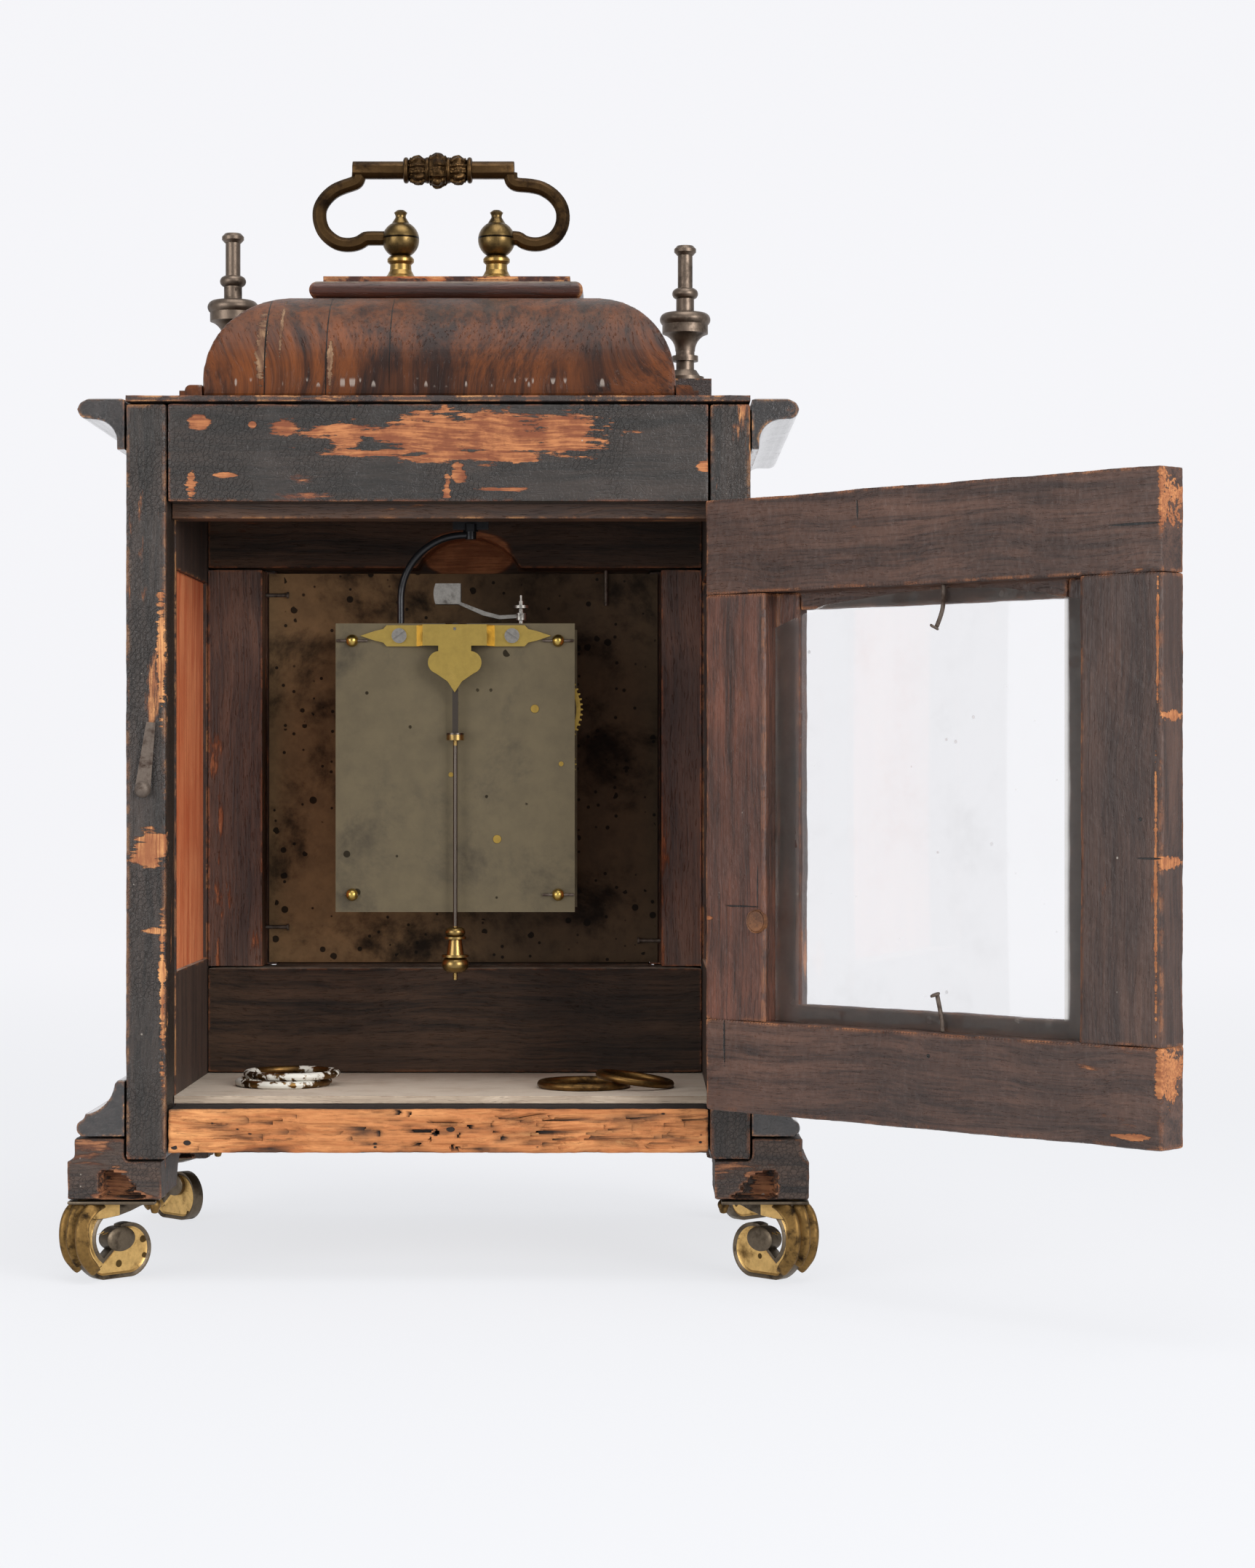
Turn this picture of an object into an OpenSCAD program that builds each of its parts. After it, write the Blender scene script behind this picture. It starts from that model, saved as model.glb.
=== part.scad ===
// Table clock seen from behind: wooden case on scroll feet, cushion dome with a bail handle,
// glazed back and front doors, and a brass verge movement with alarm work.
// +X is to the left of someone who looks at the back, +Y points out of the back, +Z is up.

/* [Case] */
// Width of the case across its side frames
case_w = 250; // [246:1:262]
// Depth of the case from front face to back face
case_d = 190; // [186:1:200]
// Height of the rear stiles
case_h = 302.2; // [300:0.1:312]
// Thickness of the side frames and the stiles
wall_t = 17; // [15:0.5:18]
// Depth of the rear stiles from the back face
stile_d = 25; // [22:1:30]
// Height of the rear top rail
top_rail_h = 39.7; // [36:0.1:41]
// Thickness of the rear top rail
top_rail_t = 15; // [13:0.5:17]
// Depth of the rear bottom rail
sill_d = 22; // [20:1:26]
// Height of the rear bottom rail
sill_h = 18.3; // [14:0.1:19]
// Height of the door sill over the plinth
sill_rise = 11.7; // [10:0.1:13]
// Thickness of the floor board
floor_t = 3; // [2.5:0.1:4]
// Drop of the door stop below the head of the back opening
stop_drop = 5.2; // [4:0.1:7]
// Height of the door stop
stop_h = 24; // [20:1:28]
// Depth of the door stop
stop_d = 16; // [12:1:20]
// Thickness of the top board
top_board_t = 3.2; // [2.5:0.1:4]
// Height of the opening in a side frame
side_open_h = 164; // [150:1:170]
// Length of the opening in a side frame
side_open_l = 97; // [90:1:104]
// Height of the side opening above the floor board
side_open_rise = 50; // [45:1:60]
// Thickness of the stained side panels
panel_t = 3; // [2:0.5:5]

/* [Cornice] */
// Reach of the cornice past the case side
cornice_out = 19.1; // [17:0.1:21]
// Radius of the cornice nose
cornice_nose_r = 4; // [3.5:0.1:4.4]
// Radius of the cornice cove
cornice_cove_r = 8.6; // [7:0.1:9.5]
// Height of the cornice above the stiles
cornice_lift = 1.9; // [1:0.1:3]
// Depth of the fillets above and below the cove
cornice_fillet = 3.4; // [2.5:0.1:4]

/* [Base] */
// Height of the base moulding
base_h = 23; // [20:0.5:25]
// Reach of the base moulding past the case side
base_out = 19.7; // [18:0.1:20.5]
// Radius of the base moulding nose
base_nose_r = 3.6; // [3:0.1:4]
// Radius of the base moulding hollow
base_cove_r = 13.2; // [11:0.1:14]
// Reach of the upper plinth step
plinth_out = 20.8; // [20:0.1:22]
// Height of the upper plinth step
plinth_up_h = 9.1; // [8:0.1:11]
// Reach of the lower plinth step
plinth_foot_out = 23.5; // [22.5:0.1:26]
// Height of the lower plinth step
plinth_low_h = 16.4; // [14:0.1:19]
// Distance that the plinth reaches in under the case
plinth_in = 15; // [13:0.5:16]
// Length of the plinth block at each corner
plinth_block = 46; // [42:1:55]
// Height of the arch between the plinth blocks
plinth_arch_h = 12; // [9:0.5:13]

/* [Feet] */
// Height of the scroll feet
foot_h = 33.1; // [31:0.1:36]
// Radius of the outside of the foot scroll
foot_r = 18; // [17:0.1:18.5]
// Radius of the hollow inside the foot scroll
foot_hollow_r = 10.6; // [9.5:0.1:11]
// Radius of the curl at the end of the foot
foot_curl_r = 11.2; // [10.5:0.1:11.8]
// Thickness of the foot scroll
foot_t = 13; // [11:0.5:16]
// Radius of the boss at the eye of the foot
foot_eye_r = 5; // [4:0.1:6]
// Side of the foot's top plate
foot_plate = 44; // [40:1:50]
// Thickness of the foot's top plate
foot_plate_t = 1.8; // [1.5:0.1:3]
// Width of the leaf on the foot's knee
foot_leaf_w = 20; // [18:1:24]

/* [Dome] */
// Width of the dome at its foot
dome_w = 190; // [184:1:194]
// Depth of the dome at its foot
dome_d = 137; // [132:1:142]
// Height of the dome
dome_h = 46.1; // [42:0.1:52]
// Height of the upright edge of the dome
dome_edge_h = 6; // [4:0.5:8]
// Wall of the hollow dome
dome_wall = 8; // [6:0.5:12]
// Setback of the dome from the back face
dome_back = 6; // [3:0.5:9]
// Width of the strips beside the dome
strip_w = 9; // [7:0.5:11]
// Height of the strips beside the dome
strip_h = 4.6; // [4:0.1:7]

/* [Platform] */
// Width of the beaded tier on the dome
tier_w = 113.7; // [108:0.1:120]
// Depth of the beaded tier
tier_d = 40; // [38:0.5:46]
// Thickness of the beaded tier
tier_h = 8; // [6:0.1:10]
// Thickness of the flat tier above it
cap_h = 2.4; // [2:0.1:4]
// Setback of the flat tier from the beaded one
cap_in = 5.4; // [4:0.1:7]

/* [Handle] */
// Distance between the handle posts
post_gap = 40.4; // [38:0.1:46]
// Radius of the ball on a handle post
post_ball_r = 7.8; // [7:0.1:8.5]
// Height of the ball's centre above the platform
post_h = 17.6; // [16.5:0.1:19]
// Radius of the foot flange of a post
post_foot_r = 6.8; // [6:0.1:8]
// Radius of the handle's round shanks
shank_r = 2.4; // [2:0.05:2.8]
// Radius of the handle's side loops
loop_r = 12.6; // [11.5:0.1:13.5]
// Distance from the handle's middle to a loop's centre
loop_x = 38.8; // [38:0.1:41]
// Height of a loop's centre above the handle axis
loop_z = 9.9; // [9:0.1:11]
// Corner radius of the eight-sided handle stock
bail_r = 3; // [2.6:0.1:3.3]
// Corner radius of the handle's straight bar
bar_r = 3.7; // [3.3:0.1:4]
// Height of the bar above the handle axis
bar_z = 28.7; // [27:0.1:30]
// Half length of the handle's bar
bar_half = 36; // [35:0.5:38]
// Radius of the middle knot of the handle
knot_r = 8.2; // [7.5:0.1:9]
// Length of each knot of the handle
knot_l = 8.2; // [7:0.1:9]
// Sideways slack that the handle has taken up
bail_shift = 2.5; // [0:0.1:2.8]

/* [Finials] */
// Sideways place of the finials from the middle
finial_x = 101; // [100:0.5:103]
// Air between a finial block and the dome
block_gap = 2.5; // [1.5:0.5:4]
// Side of the finial blocks
block_w = 23; // [20:0.5:24]
// Height of the finial blocks
block_h = 24.5; // [22:0.5:28]
// Height of a finial over its block
finial_h = 60.6; // [56:0.1:64]
// Radius of the finial's widest disc
finial_r = 11.3; // [10:0.1:12]
// Radius of the finial's shaft
finial_shaft_r = 3.3; // [2.8:0.1:3.8]
// Height that the left finial stands proud of its block
finial_lift = 5.5; // [0:0.5:7]

/* [Doors] */
// Thickness of the back door
door_t = 14; // [12:0.5:14.5]
// Running gap round the doors
door_gap = 0.8; // [0.6:0.1:1]
// Angle that the back door stands open
door_open = 136.8; // [90:0.1:150]
// Height of the back door's top rail
door_top_h = 37.5; // [34:0.5:40]
// Height of the back door's bottom rail
door_bottom_h = 36.5; // [34:0.5:40]
// Width of the back door's hinge stile
door_hinge_w = 31; // [28:0.5:34]
// Width of the back door's lock stile
door_lock_w = 35.3; // [32:0.1:38]
// Width of the ledge behind the glass at the stiles
ledge_w = 10.8; // [9:0.1:12]
// Width of the ledge behind the glass at the rails
ledge_h = 7; // [6:0.1:9]
// Depth of the glass rebate
rebate_d = 8; // [7:0.1:9]
// Thickness of the window glass
glass_t = 2; // [1.5:0.1:2.5]
// Radius of the hinge knuckles
knuckle_r = 1.1; // [1:0.05:1.2]
// Radius of the hinge pins
hinge_pin_r = 0.5; // [0.4:0.05:0.6]
// Height of a hinge leaf
hinge_h = 24; // [20:1:30]
// Thickness of a hinge leaf
leaf_t = 0.7; // [0.5:0.05:0.8]
// Width of a hinge leaf
leaf_w = 10; // [8:0.5:11]
// Width of the front door's frame members
front_rail_w = 20; // [18:0.5:21]
// Thickness of the front door
front_door_t = 13; // [11:0.5:14]

/* [Latch] */
// Height of the latch nail above the foot of the stiles
latch_z = 147.9; // [140:0.1:156]
// Length of the latch from its nail to its tip
latch_l = 27; // [24:0.5:32]
// Width of the latch at its nail
latch_w = 6.2; // [5.5:0.1:7]
// Width of the latch at its tip
latch_tip_w = 3.6; // [3:0.1:5]
// Thickness of the latch
latch_t = 1.2; // [1:0.1:1.6]
// Radius of the latch nail's head
latch_head_r = 3.1; // [2.5:0.1:3.6]

/* [Mask and dial] */
// Air between the mask frame and each case side
mask_gap = 3; // [2:0.5:5]
// Thickness of the mask frame
mask_t = 22; // [20:0.5:24]
// Place of the mask's inner face behind the case middle
mask_y = -28; // [-31:0.5:-27.5]
// Side of the mask's square opening
mask_open = 173.7; // [172.5:0.1:176]
// Height of the mask's bottom rail
mask_bottom_h = 46.5; // [44:0.5:49]
// Height of the mask's top rail
mask_top_h = 36; // [32:0.5:40]
// Width of the lip that stops the dial plate
mask_lip = 5; // [4:0.5:7]
// Depth of the lip that stops the dial plate
mask_lip_t = 7; // [5:0.5:8]
// Side of the dial plate
dial_w = 171; // [168:0.5:172]
// Thickness of the dial plate
dial_t = 2; // [1.5:0.1:2.4]
// Outer radius of the chapter ring
ring_r = 74; // [70:0.5:75]
// Width of the chapter ring
ring_w = 19; // [16:0.5:22]
// Thickness of the chapter ring
ring_t = 1.2; // [1:0.1:1.5]
// Radius of the bell recess in the mask's top rail
recess_r = 25.4; // [23:0.1:27]
// Height of the bell recess
recess_h = 13.6; // [12:0.1:15]

/* [Movement] */
// Width of the movement plates
plate_w = 99.8; // [99:0.1:101]
// Height of the movement plates
plate_h = 120.5; // [119.5:0.1:122]
// Thickness of the movement plates
plate_t = 2.5; // [2:0.1:3]
// Place of the back plate's outer face behind the case middle
plate_y = 34; // [33:0.5:36]
// Distance between the two plates
plate_gap = 53.5; // [53:0.1:55]
// Sideways place of the movement
move_x = -3.5; // [-5:0.1:-2]
// Height of the movement's middle above the mask's bottom rail
move_rise = 86.6; // [85:0.1:88]
// Sideways distance from the movement's middle to its pillars
pillar_x = 43; // [42.6:0.1:44]
// Upright distance from the movement's middle to its pillars
pillar_z = 53; // [52.6:0.1:54]
// Radius of the movement pillars
pillar_r = 3.2; // [2.8:0.1:3.4]
// Running clearance round every pivot
run_gap = 0.06; // [0.03:0.01:0.09]
// Radius of the train pivots
pivot_r = 1; // [0.8:0.05:1.1]
// Radius of the two barrel pivots
barrel_pivot_r = 1.7; // [1.4:0.05:1.9]
// Teeth of the great wheel
great_teeth = 72; // [72:1:72]
// Leaves of the train pinions
leaves = 8; // [8:1:8]
// Teeth of the centre wheel
centre_teeth = 60; // [60:1:60]
// Teeth of the contrate wheel
contrate_teeth = 48; // [48:2:48]
// Mean radius of the contrate wheel's teeth
contrate_r = 14; // [13.6:0.1:14.4]
// Teeth of the crown wheel
crown_teeth = 27; // [21:2:31]
// Mean radius of the crown wheel
crown_r = 12; // [11:0.1:12.6]
// Teeth of the alarm great wheel
alarm_teeth = 56; // [56:1:56]
// Leaves of the alarm pinion
alarm_leaves = 17; // [17:1:17]
// Radius of the going barrel
barrel_r = 20; // [18:0.5:21]
// Radius of the alarm barrel
alarm_barrel_r = 14; // [12:0.5:15]

/* [Cock and pendulum] */
// Height of the raised middle of the cock over the back plate
cock_rise = 7.5; // [7:0.1:8.5]
// Thickness of the cock
cock_t = 1.8; // [1.4:0.1:2.2]
// Length of the cock from tip to tip
cock_l = 79.5; // [76:0.5:82]
// Height of the cock's wings
cock_wing_h = 8.8; // [8:0.1:10]
// Width of the cock's raised middle
cock_mid_w = 25.4; // [24:0.1:28]
// Sideways distance from the verge to the cock screws
cock_screw_x = 23.5; // [22.5:0.1:25]
// Height of the verge above the movement's middle
verge_z = 57.6; // [57.2:0.1:58]
// Radius of the verge
verge_r = 1.1; // [0.9:0.05:1.2]
// Distance from the back plate to the pendulum
pendulum_out = 5; // [4.6:0.1:5.4]
// Radius of the pendulum rod
rod_r = 0.9; // [0.7:0.05:1.1]
// Depth of the pendulum bob's top below the verge
bob_drop = 124; // [121:0.5:127]
// Radius of the pendulum bob
bob_r = 5.6; // [5:0.1:6]
// Length of the pendulum bob
bob_l = 18.8; // [17:0.1:20]

/* [Hammer and bell stand] */
// Radius of the bell stand's rod
stand_r = 1.5; // [1.2:0.1:1.8]
// Radius of the bell stand's bend
stand_bend_r = 27; // [24:0.5:28]
// Width of the bell nut
nut_w = 15; // [13:0.5:16]
// Distance from the hammer arbor to the middle of its head
hammer_l = 31; // [28:0.5:32]
// Length of the hammer head
hammer_head_l = 11.4; // [10:0.1:12]
// Height of the hammer head
hammer_head_h = 8.7; // [8:0.1:10]
// Radius of the loose rings' wire
wire_r = 1.6; // [1.4:0.1:1.8]
// Outer radius of the large loose rings
loose_r = 20.2; // [19:0.1:21.5]
// Outer radius of the small loose ring
loose_small_r = 16.5; // [15.5:0.1:17.5]

/* [Hidden] */
$fn = 64;

// Air left between parts of different bodies
air = 0.3;
// Overlap that joins two shapes of one piece
sink = 0.4;

// Half sizes and levels of the case
hw = case_w / 2;
hd = case_d / 2;
in_hw = hw - wall_t;
z_step = foot_h + plinth_low_h;
z_plinth = z_step + plinth_up_h;
z_top = z_step + case_h;
z_sill = z_plinth + sill_rise;
z_base = z_plinth + base_h;
z_floor = z_sill + floor_t;
z_head = z_top - top_rail_h;
z_board = z_top + top_board_t;
z_dome = z_board + dome_h;
z_tier = z_dome + tier_h;
z_cap = z_tier + cap_h;

// Places on the case top
dome_y = hd - dome_back - dome_d / 2;
handle_z = z_cap + post_h;
finial_y = dome_y - dome_d / 2 - block_gap - block_w / 2;
z_block = z_board + block_h;

// Side openings
side_y1 = hd - stile_d - 2;
side_y0 = side_y1 - side_open_l;
side_z0 = z_floor + side_open_rise;

// Back door, hinged on a pin just proud of the back face
pin_x = -in_hw - 4.5;
pin_y = hd + knuckle_r + 0.1;
door_half = in_hw - door_gap;
door_z0 = z_sill + door_gap;
door_z1 = z_head - door_gap;
door_in = hd - door_t;
win_x0 = -door_half + door_hinge_w;
win_x1 = door_half - door_lock_w;
win_z0 = door_z0 + door_bottom_h;
win_z1 = door_z1 - door_top_h;
glass_y = door_in + rebate_d - glass_t;

// Front door, hinged on the other side
front_pin_x = in_hw + 4.5;
front_z0 = z_base + door_gap;
front_pin_y = -hd - knuckle_r - 0.1;

// Mask, dial and movement
mask_front = mask_y - mask_t;
mask_cx = move_x + 0.5;
mask_z0 = z_floor + mask_bottom_h;
mask_w = 2 * (in_hw - mask_gap);
mask_z1 = mask_z0 + mask_open;
dial_y = mask_front + mask_lip_t;
dial_back = dial_y + dial_t;
mask_mid = (mask_z0 + mask_z1) / 2;
move_z = mask_z0 + move_rise;
back_in = plate_y - plate_t;
front_in = back_in - plate_gap;
front_out = front_in - plate_t;

// Arbors, as places across and above the movement's middle
centre_at = [1.8, -2.9];
barrel_at = [-17.5, -29.8];
contrate_at = [-0.3, 26.8];
alarm_at = [-33.2, 24.6];
pinwheel_at = [-44.2, 1.6];
minute_at = centre_at + [20, 0];
hammer_x = -27;
hammer_y = 20;
crown_y = 6;

// Gear modules follow from the arbors' distances
great_m = 2 * norm(barrel_at - centre_at) / (great_teeth + leaves);
centre_m = 2 * norm(contrate_at - centre_at) / (centre_teeth + leaves);
alarm_m = 2 * norm(pinwheel_at - alarm_at) / (alarm_teeth + alarm_leaves);
contrate_m = 2 * contrate_r / contrate_teeth;
minute_m = 2 * norm(minute_at - centre_at) / (20 + 60);
hour_m = 2 * norm(minute_at - centre_at) / (10 + 40);

// Planes of the wheels between the plates
great_y = front_in + 3;
wheel_t = 2;
centre_y = back_in - 17.5;
alarm_y = back_in - 9.5;
barrel_y1 = centre_y - 3;
contrate_tip_y = crown_y - leaves * contrate_m / 2 + 0.6 * contrate_m;
crown_tip_z = verge_z - 4.2;
crown_h = 5.5;
cannon_y = front_out - 5.5;
hour_y = cannon_y - 4.5;
hour_hand_y = dial_y - ring_t - 2.6;
minute_hand_y = hour_hand_y - 2.6;

// Points along part of an ellipse
function ellipse_arc(cx, cz, rx, rz, a0, a1, n) =
    [for (i = [0:n]) let (a = a0 + (a1 - a0) * i / n) [cx + rx * cos(a), cz + rz * sin(a)]];

// Phase that puts a gap of a gear on the line towards another arbor
function facing(from, to) = atan2(to[1] - from[1], to[0] - from[0]);

// A plain block from its lowest to its highest corner
module block(low, high) {
    translate(low) cube(high - low);
}

// A plain rod between two heights along one axis
module rod_x(r, x0, x1) {
    translate([x0, 0, 0]) rotate([0, 90, 0]) cylinder(r = r, h = x1 - x0);
}

module rod_y(r, y0, y1) {
    translate([0, y1, 0]) rotate([90, 0, 0]) cylinder(r = r, h = y1 - y0);
}

// Draws the children on both sides of the middle
module both_sides() {
    children();
    mirror([1, 0, 0]) children();
}

// Moves to an arbor of the movement
module at_arbor(place) {
    translate([move_x + place[0], 0, move_z + place[1]]) children();
}

// Stands a flat outline up so that it runs along Y from y0 to y1
module along_y(y0, y1) {
    translate([0, y1, 0]) rotate([90, 0, 0]) linear_extrude(y1 - y0) children();
}

// Stands a flat outline up so that it runs along X from x0 to x1
module along_x(x0, x1) {
    translate([x0, 0, 0]) rotate([90, 0, 90]) linear_extrude(x1 - x0) children();
}

// Everything beyond the mitre at the front left corner, on the side of the front moulding
module mitre_front(reach, z0, z1) {
    translate([hw, -hd, z0]) rotate([0, 0, -45]) translate([-2 * reach, -3 * reach, 0])
        cube([5 * reach, 3 * reach, z1 - z0]);
}

// Everything beyond the mitre at the front left corner, on the side of the side moulding
module mitre_side(reach, z0, z1) {
    translate([hw, -hd, z0]) rotate([0, 0, -45]) translate([-2 * reach, 0, 0])
        cube([5 * reach, 3 * reach, z1 - z0]);
}

// A moulding along the left side, mitred at the front corner; the outline is drawn as reach and height
module side_moulding(reach, z0, z1) {
    difference() {
        along_y(-hd - reach - 1, hd) translate([hw, 0]) children();
        mitre_front(2 * reach, z0 - 1, z1 + 1);
    }
}

// A moulding along the front, mitred at both corners
module front_moulding(reach, z0, z1) {
    difference() {
        along_x(-hw - reach - 1, hw + reach + 1) mirror([1, 0]) translate([hd, 0]) children();
        mitre_side(2 * reach, z0 - 1, z1 + 1);
        mirror([1, 0, 0]) mitre_side(2 * reach, z0 - 1, z1 + 1);
    }
}

// Case

module rear_stiles() {
    color([0.14, 0.11, 0.1]) both_sides() block([in_hw, hd - stile_d, z_step], [hw, hd, z_top]);
}

module rear_top_rail() {
    color([0.2, 0.13, 0.1]) block([-in_hw, hd - top_rail_t, z_head], [in_hw, hd, z_top]);
}

module rear_bottom_rail() {
    color([0.72, 0.42, 0.2]) block([-in_hw, hd - sill_d, z_sill - sill_h], [in_hw, hd, z_sill]);
}

module door_stop_rail() {
    color([0.16, 0.1, 0.08])
        block([-in_hw, hd - top_rail_t - stop_d, z_head - stop_drop], [in_hw, hd - top_rail_t, z_head + stop_h]);
}

module side_frame() {
    difference() {
        block([in_hw, -hd, z_step], [hw, hd - stile_d, z_top]);
        block([in_hw - 1, side_y0, side_z0], [hw + 1, side_y1, side_z0 + side_open_h]);
    }
}

module side_frame_left() {
    color([0.15, 0.11, 0.09]) side_frame();
}

module side_frame_right() {
    color([0.15, 0.11, 0.09]) mirror([1, 0, 0]) side_frame();
}

module side_panels() {
    color([0.62, 0.25, 0.14]) both_sides()
        block([in_hw + 2, side_y0, side_z0], [in_hw + 2 + panel_t, side_y1, side_z0 + side_open_h]);
}

module front_rails() {
    color([0.15, 0.11, 0.09]) {
        block([-in_hw, -hd, z_sill - sill_h], [in_hw, -hd + sill_d, z_sill]);
        block([-in_hw, -hd, z_sill - sink], [in_hw, -hd + front_door_t, z_base]);
        block([-in_hw, -hd, z_head], [in_hw, -hd + top_rail_t, z_top]);
    }
}

module top_board() {
    color([0.13, 0.1, 0.09]) block([-hw, -hd, z_top], [hw, hd, z_board]);
}

module floor_board() {
    color([0.42, 0.36, 0.3]) block([-in_hw, -hd + front_door_t + 2, z_sill], [in_hw, hd - sill_d + 2, z_floor]);
}

// Outline of the cornice as reach and height: nose over a fillet, a cove and a small base fillet
module cornice_outline() {
    nose_z = z_top + cornice_lift - 0.5 - cornice_nose_r;
    cove_top = nose_z - cornice_nose_r + 0.8;
    reach = cornice_fillet + cornice_cove_r;
    translate([0, nose_z - cornice_nose_r + 0.8])
        square([cornice_out - cornice_nose_r, z_top + cornice_lift - nose_z + cornice_nose_r - 0.8]);
    translate([cornice_out - cornice_nose_r, nose_z]) circle(r = cornice_nose_r);
    difference() {
        translate([0, cove_top - cornice_cove_r - 1]) square([reach + 1, cornice_cove_r + 1.5]);
        translate([reach, cove_top - cornice_cove_r - 1]) circle(r = cornice_cove_r);
        translate([reach, cove_top - 2 * cornice_cove_r]) square([3, 2 * cornice_cove_r - 1.4]);
    }
    translate([0, cove_top - cornice_cove_r - 1 - cornice_fillet]) square([cornice_fillet, cornice_fillet + 0.5]);
}

module cornice() {
    low = z_top - 30;
    high = z_top + 10;
    color([0.1, 0.09, 0.09]) {
        both_sides() side_moulding(cornice_out, low, high) cornice_outline();
        front_moulding(cornice_out, low, high) cornice_outline();
    }
}

// Outline of the base moulding as reach and height: nose below a hollow
module base_outline() {
    nose_w = base_out - base_nose_r;
    translate([0, z_plinth]) square([nose_w, 2 * base_nose_r]);
    translate([nose_w, z_plinth + base_nose_r]) circle(r = base_nose_r);
    difference() {
        translate([0, z_plinth + base_nose_r]) square([nose_w, base_h - base_nose_r - 1.5]);
        translate([4.3 + base_cove_r, z_plinth + base_h - 0.5]) circle(r = base_cove_r);
    }
    translate([0, z_plinth + base_h - 3]) square([3.4, 3]);
}

module base_moulding() {
    color([0.12, 0.1, 0.1]) {
        both_sides() side_moulding(base_out, z_plinth, z_plinth + base_h) base_outline();
        front_moulding(base_out, z_plinth, z_plinth + base_h) base_outline();
    }
}

// Outline of the plinth as reach and height: two steps, the lower one running in under the case
module plinth_outline() {
    translate([0, z_step - 0.001]) square([plinth_out, plinth_up_h + 0.001]);
    translate([-plinth_in, foot_h]) square([plinth_in + plinth_foot_out, plinth_low_h]);
}

// The arch between two plinth blocks, seen along the moulding
module arch_outline(half) {
    translate([-half + plinth_arch_h, foot_h - 1]) square([2 * (half - plinth_arch_h), plinth_arch_h + 1]);
    translate([-half, foot_h - 1]) square([2 * half, 1.01]);
    for (side = [-1, 1])
        translate([side * (half - plinth_arch_h), foot_h]) circle(r = plinth_arch_h);
}

module plinth_front() {
    color([0.16, 0.12, 0.1]) difference() {
        front_moulding(plinth_foot_out, foot_h, z_plinth) plinth_outline();
        along_y(-hd - plinth_foot_out - 1, -hd + plinth_in + 1) arch_outline(hw - plinth_block);
    }
}

module plinth_sides() {
    color([0.16, 0.12, 0.1]) both_sides() difference() {
        side_moulding(plinth_foot_out, foot_h, z_plinth) plinth_outline();
        along_x(hw - plinth_in - 1, hw + plinth_foot_out + 1) arch_outline(hd - plinth_block);
    }
}

// Flat outline of a foot along its diagonal; the origin lies under the scroll's middle
module foot_outline() {
    curl = [-6.5, foot_curl_r - 0.2];
    difference() {
        union() {
            difference() {
                translate([0, foot_r - 1]) circle(r = foot_r);
                translate([-1, foot_r - 1]) circle(r = foot_hollow_r);
                translate([-2 * foot_r - 1, 4]) square([2 * foot_r, 2 * foot_r]);
            }
            translate(curl) circle(r = foot_curl_r);
            polygon([
                [-1.5, foot_r - 1 + foot_hollow_r], [-12, foot_h - 4], [-26, foot_h - 2],
                [-26, foot_h], [14, foot_h], [12, foot_h - 8]
            ]);
        }
        translate([-3 * foot_r, foot_h]) square([6 * foot_r, foot_r]);
        translate([-3 * foot_r, -foot_r]) square([6 * foot_r, foot_r]);
    }
}

// One foot at the rear left corner: plate, scroll, eye bosses and the leaf on its knee
module one_foot() {
    corner = hw + plinth_foot_out;
    centre = corner - 16;
    translate([corner, hd, 0]) translate([-foot_plate, -foot_plate, foot_h - foot_plate_t])
        cube([foot_plate, foot_plate, foot_plate_t]);
    translate([centre, hd - 16, 0]) rotate([0, 0, 45]) {
        along_y(-foot_t / 2, foot_t / 2) foot_outline();
        translate([-1.2, 0, foot_r - 1.6]) rod_y(foot_eye_r, -foot_t / 2 - 1.5, foot_t / 2 + 1.5);
        along_y(-foot_leaf_w / 2, foot_leaf_w / 2) difference() {
            translate([0.5, foot_r - 1.5]) circle(r = foot_r + 3);
            translate([0, foot_r - 1]) circle(r = foot_r - 0.5);
            translate([-3 * foot_r, -foot_r]) square([3 * foot_r + 8, 4 * foot_r]);
            translate([0, -foot_r]) square([3 * foot_r, foot_r + 2]);
            translate([0, foot_r + 9]) square([3 * foot_r, foot_r]);
        }
    }
}

module feet() {
    color([0.62, 0.45, 0.2]) both_sides() {
        one_foot();
        translate([0, -plinth_foot_out, 0]) mirror([0, 1, 0]) one_foot();
    }
}

// Dome and platform

// Upright outline of the dome across half widths at foot and top
module dome_outline(half, top_half, drop) {
    z0 = z_board;
    z1 = z_dome - drop;
    edge = z0 + dome_edge_h;
    run = half - top_half;
    right = ellipse_arc(top_half, edge, run, z1 - edge, 0, 90, 14);
    left = ellipse_arc(-top_half, edge, run, z1 - edge, 90, 180, 14);
    polygon(concat([[half, z0]], right, left, [[-half, z0]]));
}

module dome_body(inset, base) {
    top_x = tier_w / 2 - inset;
    top_y = tier_d / 2 - min(inset, 4);
    intersection() {
        translate([0, dome_y, 0]) along_y(-dome_d, dome_d) dome_outline(dome_w / 2 - inset, top_x, inset);
        translate([0, dome_y, 0]) along_x(-dome_w, dome_w) dome_outline(dome_d / 2 - inset, top_y, inset);
    }
    if (base > 0)
        translate([0, dome_y, z_board - base])
            linear_extrude(base + 0.01) square([dome_w - 2 * inset, dome_d - 2 * inset], center = true);
}

module dome() {
    color([0.4, 0.2, 0.12]) difference() {
        dome_body(0, 0);
        dome_body(dome_wall, 1);
    }
}

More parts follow.
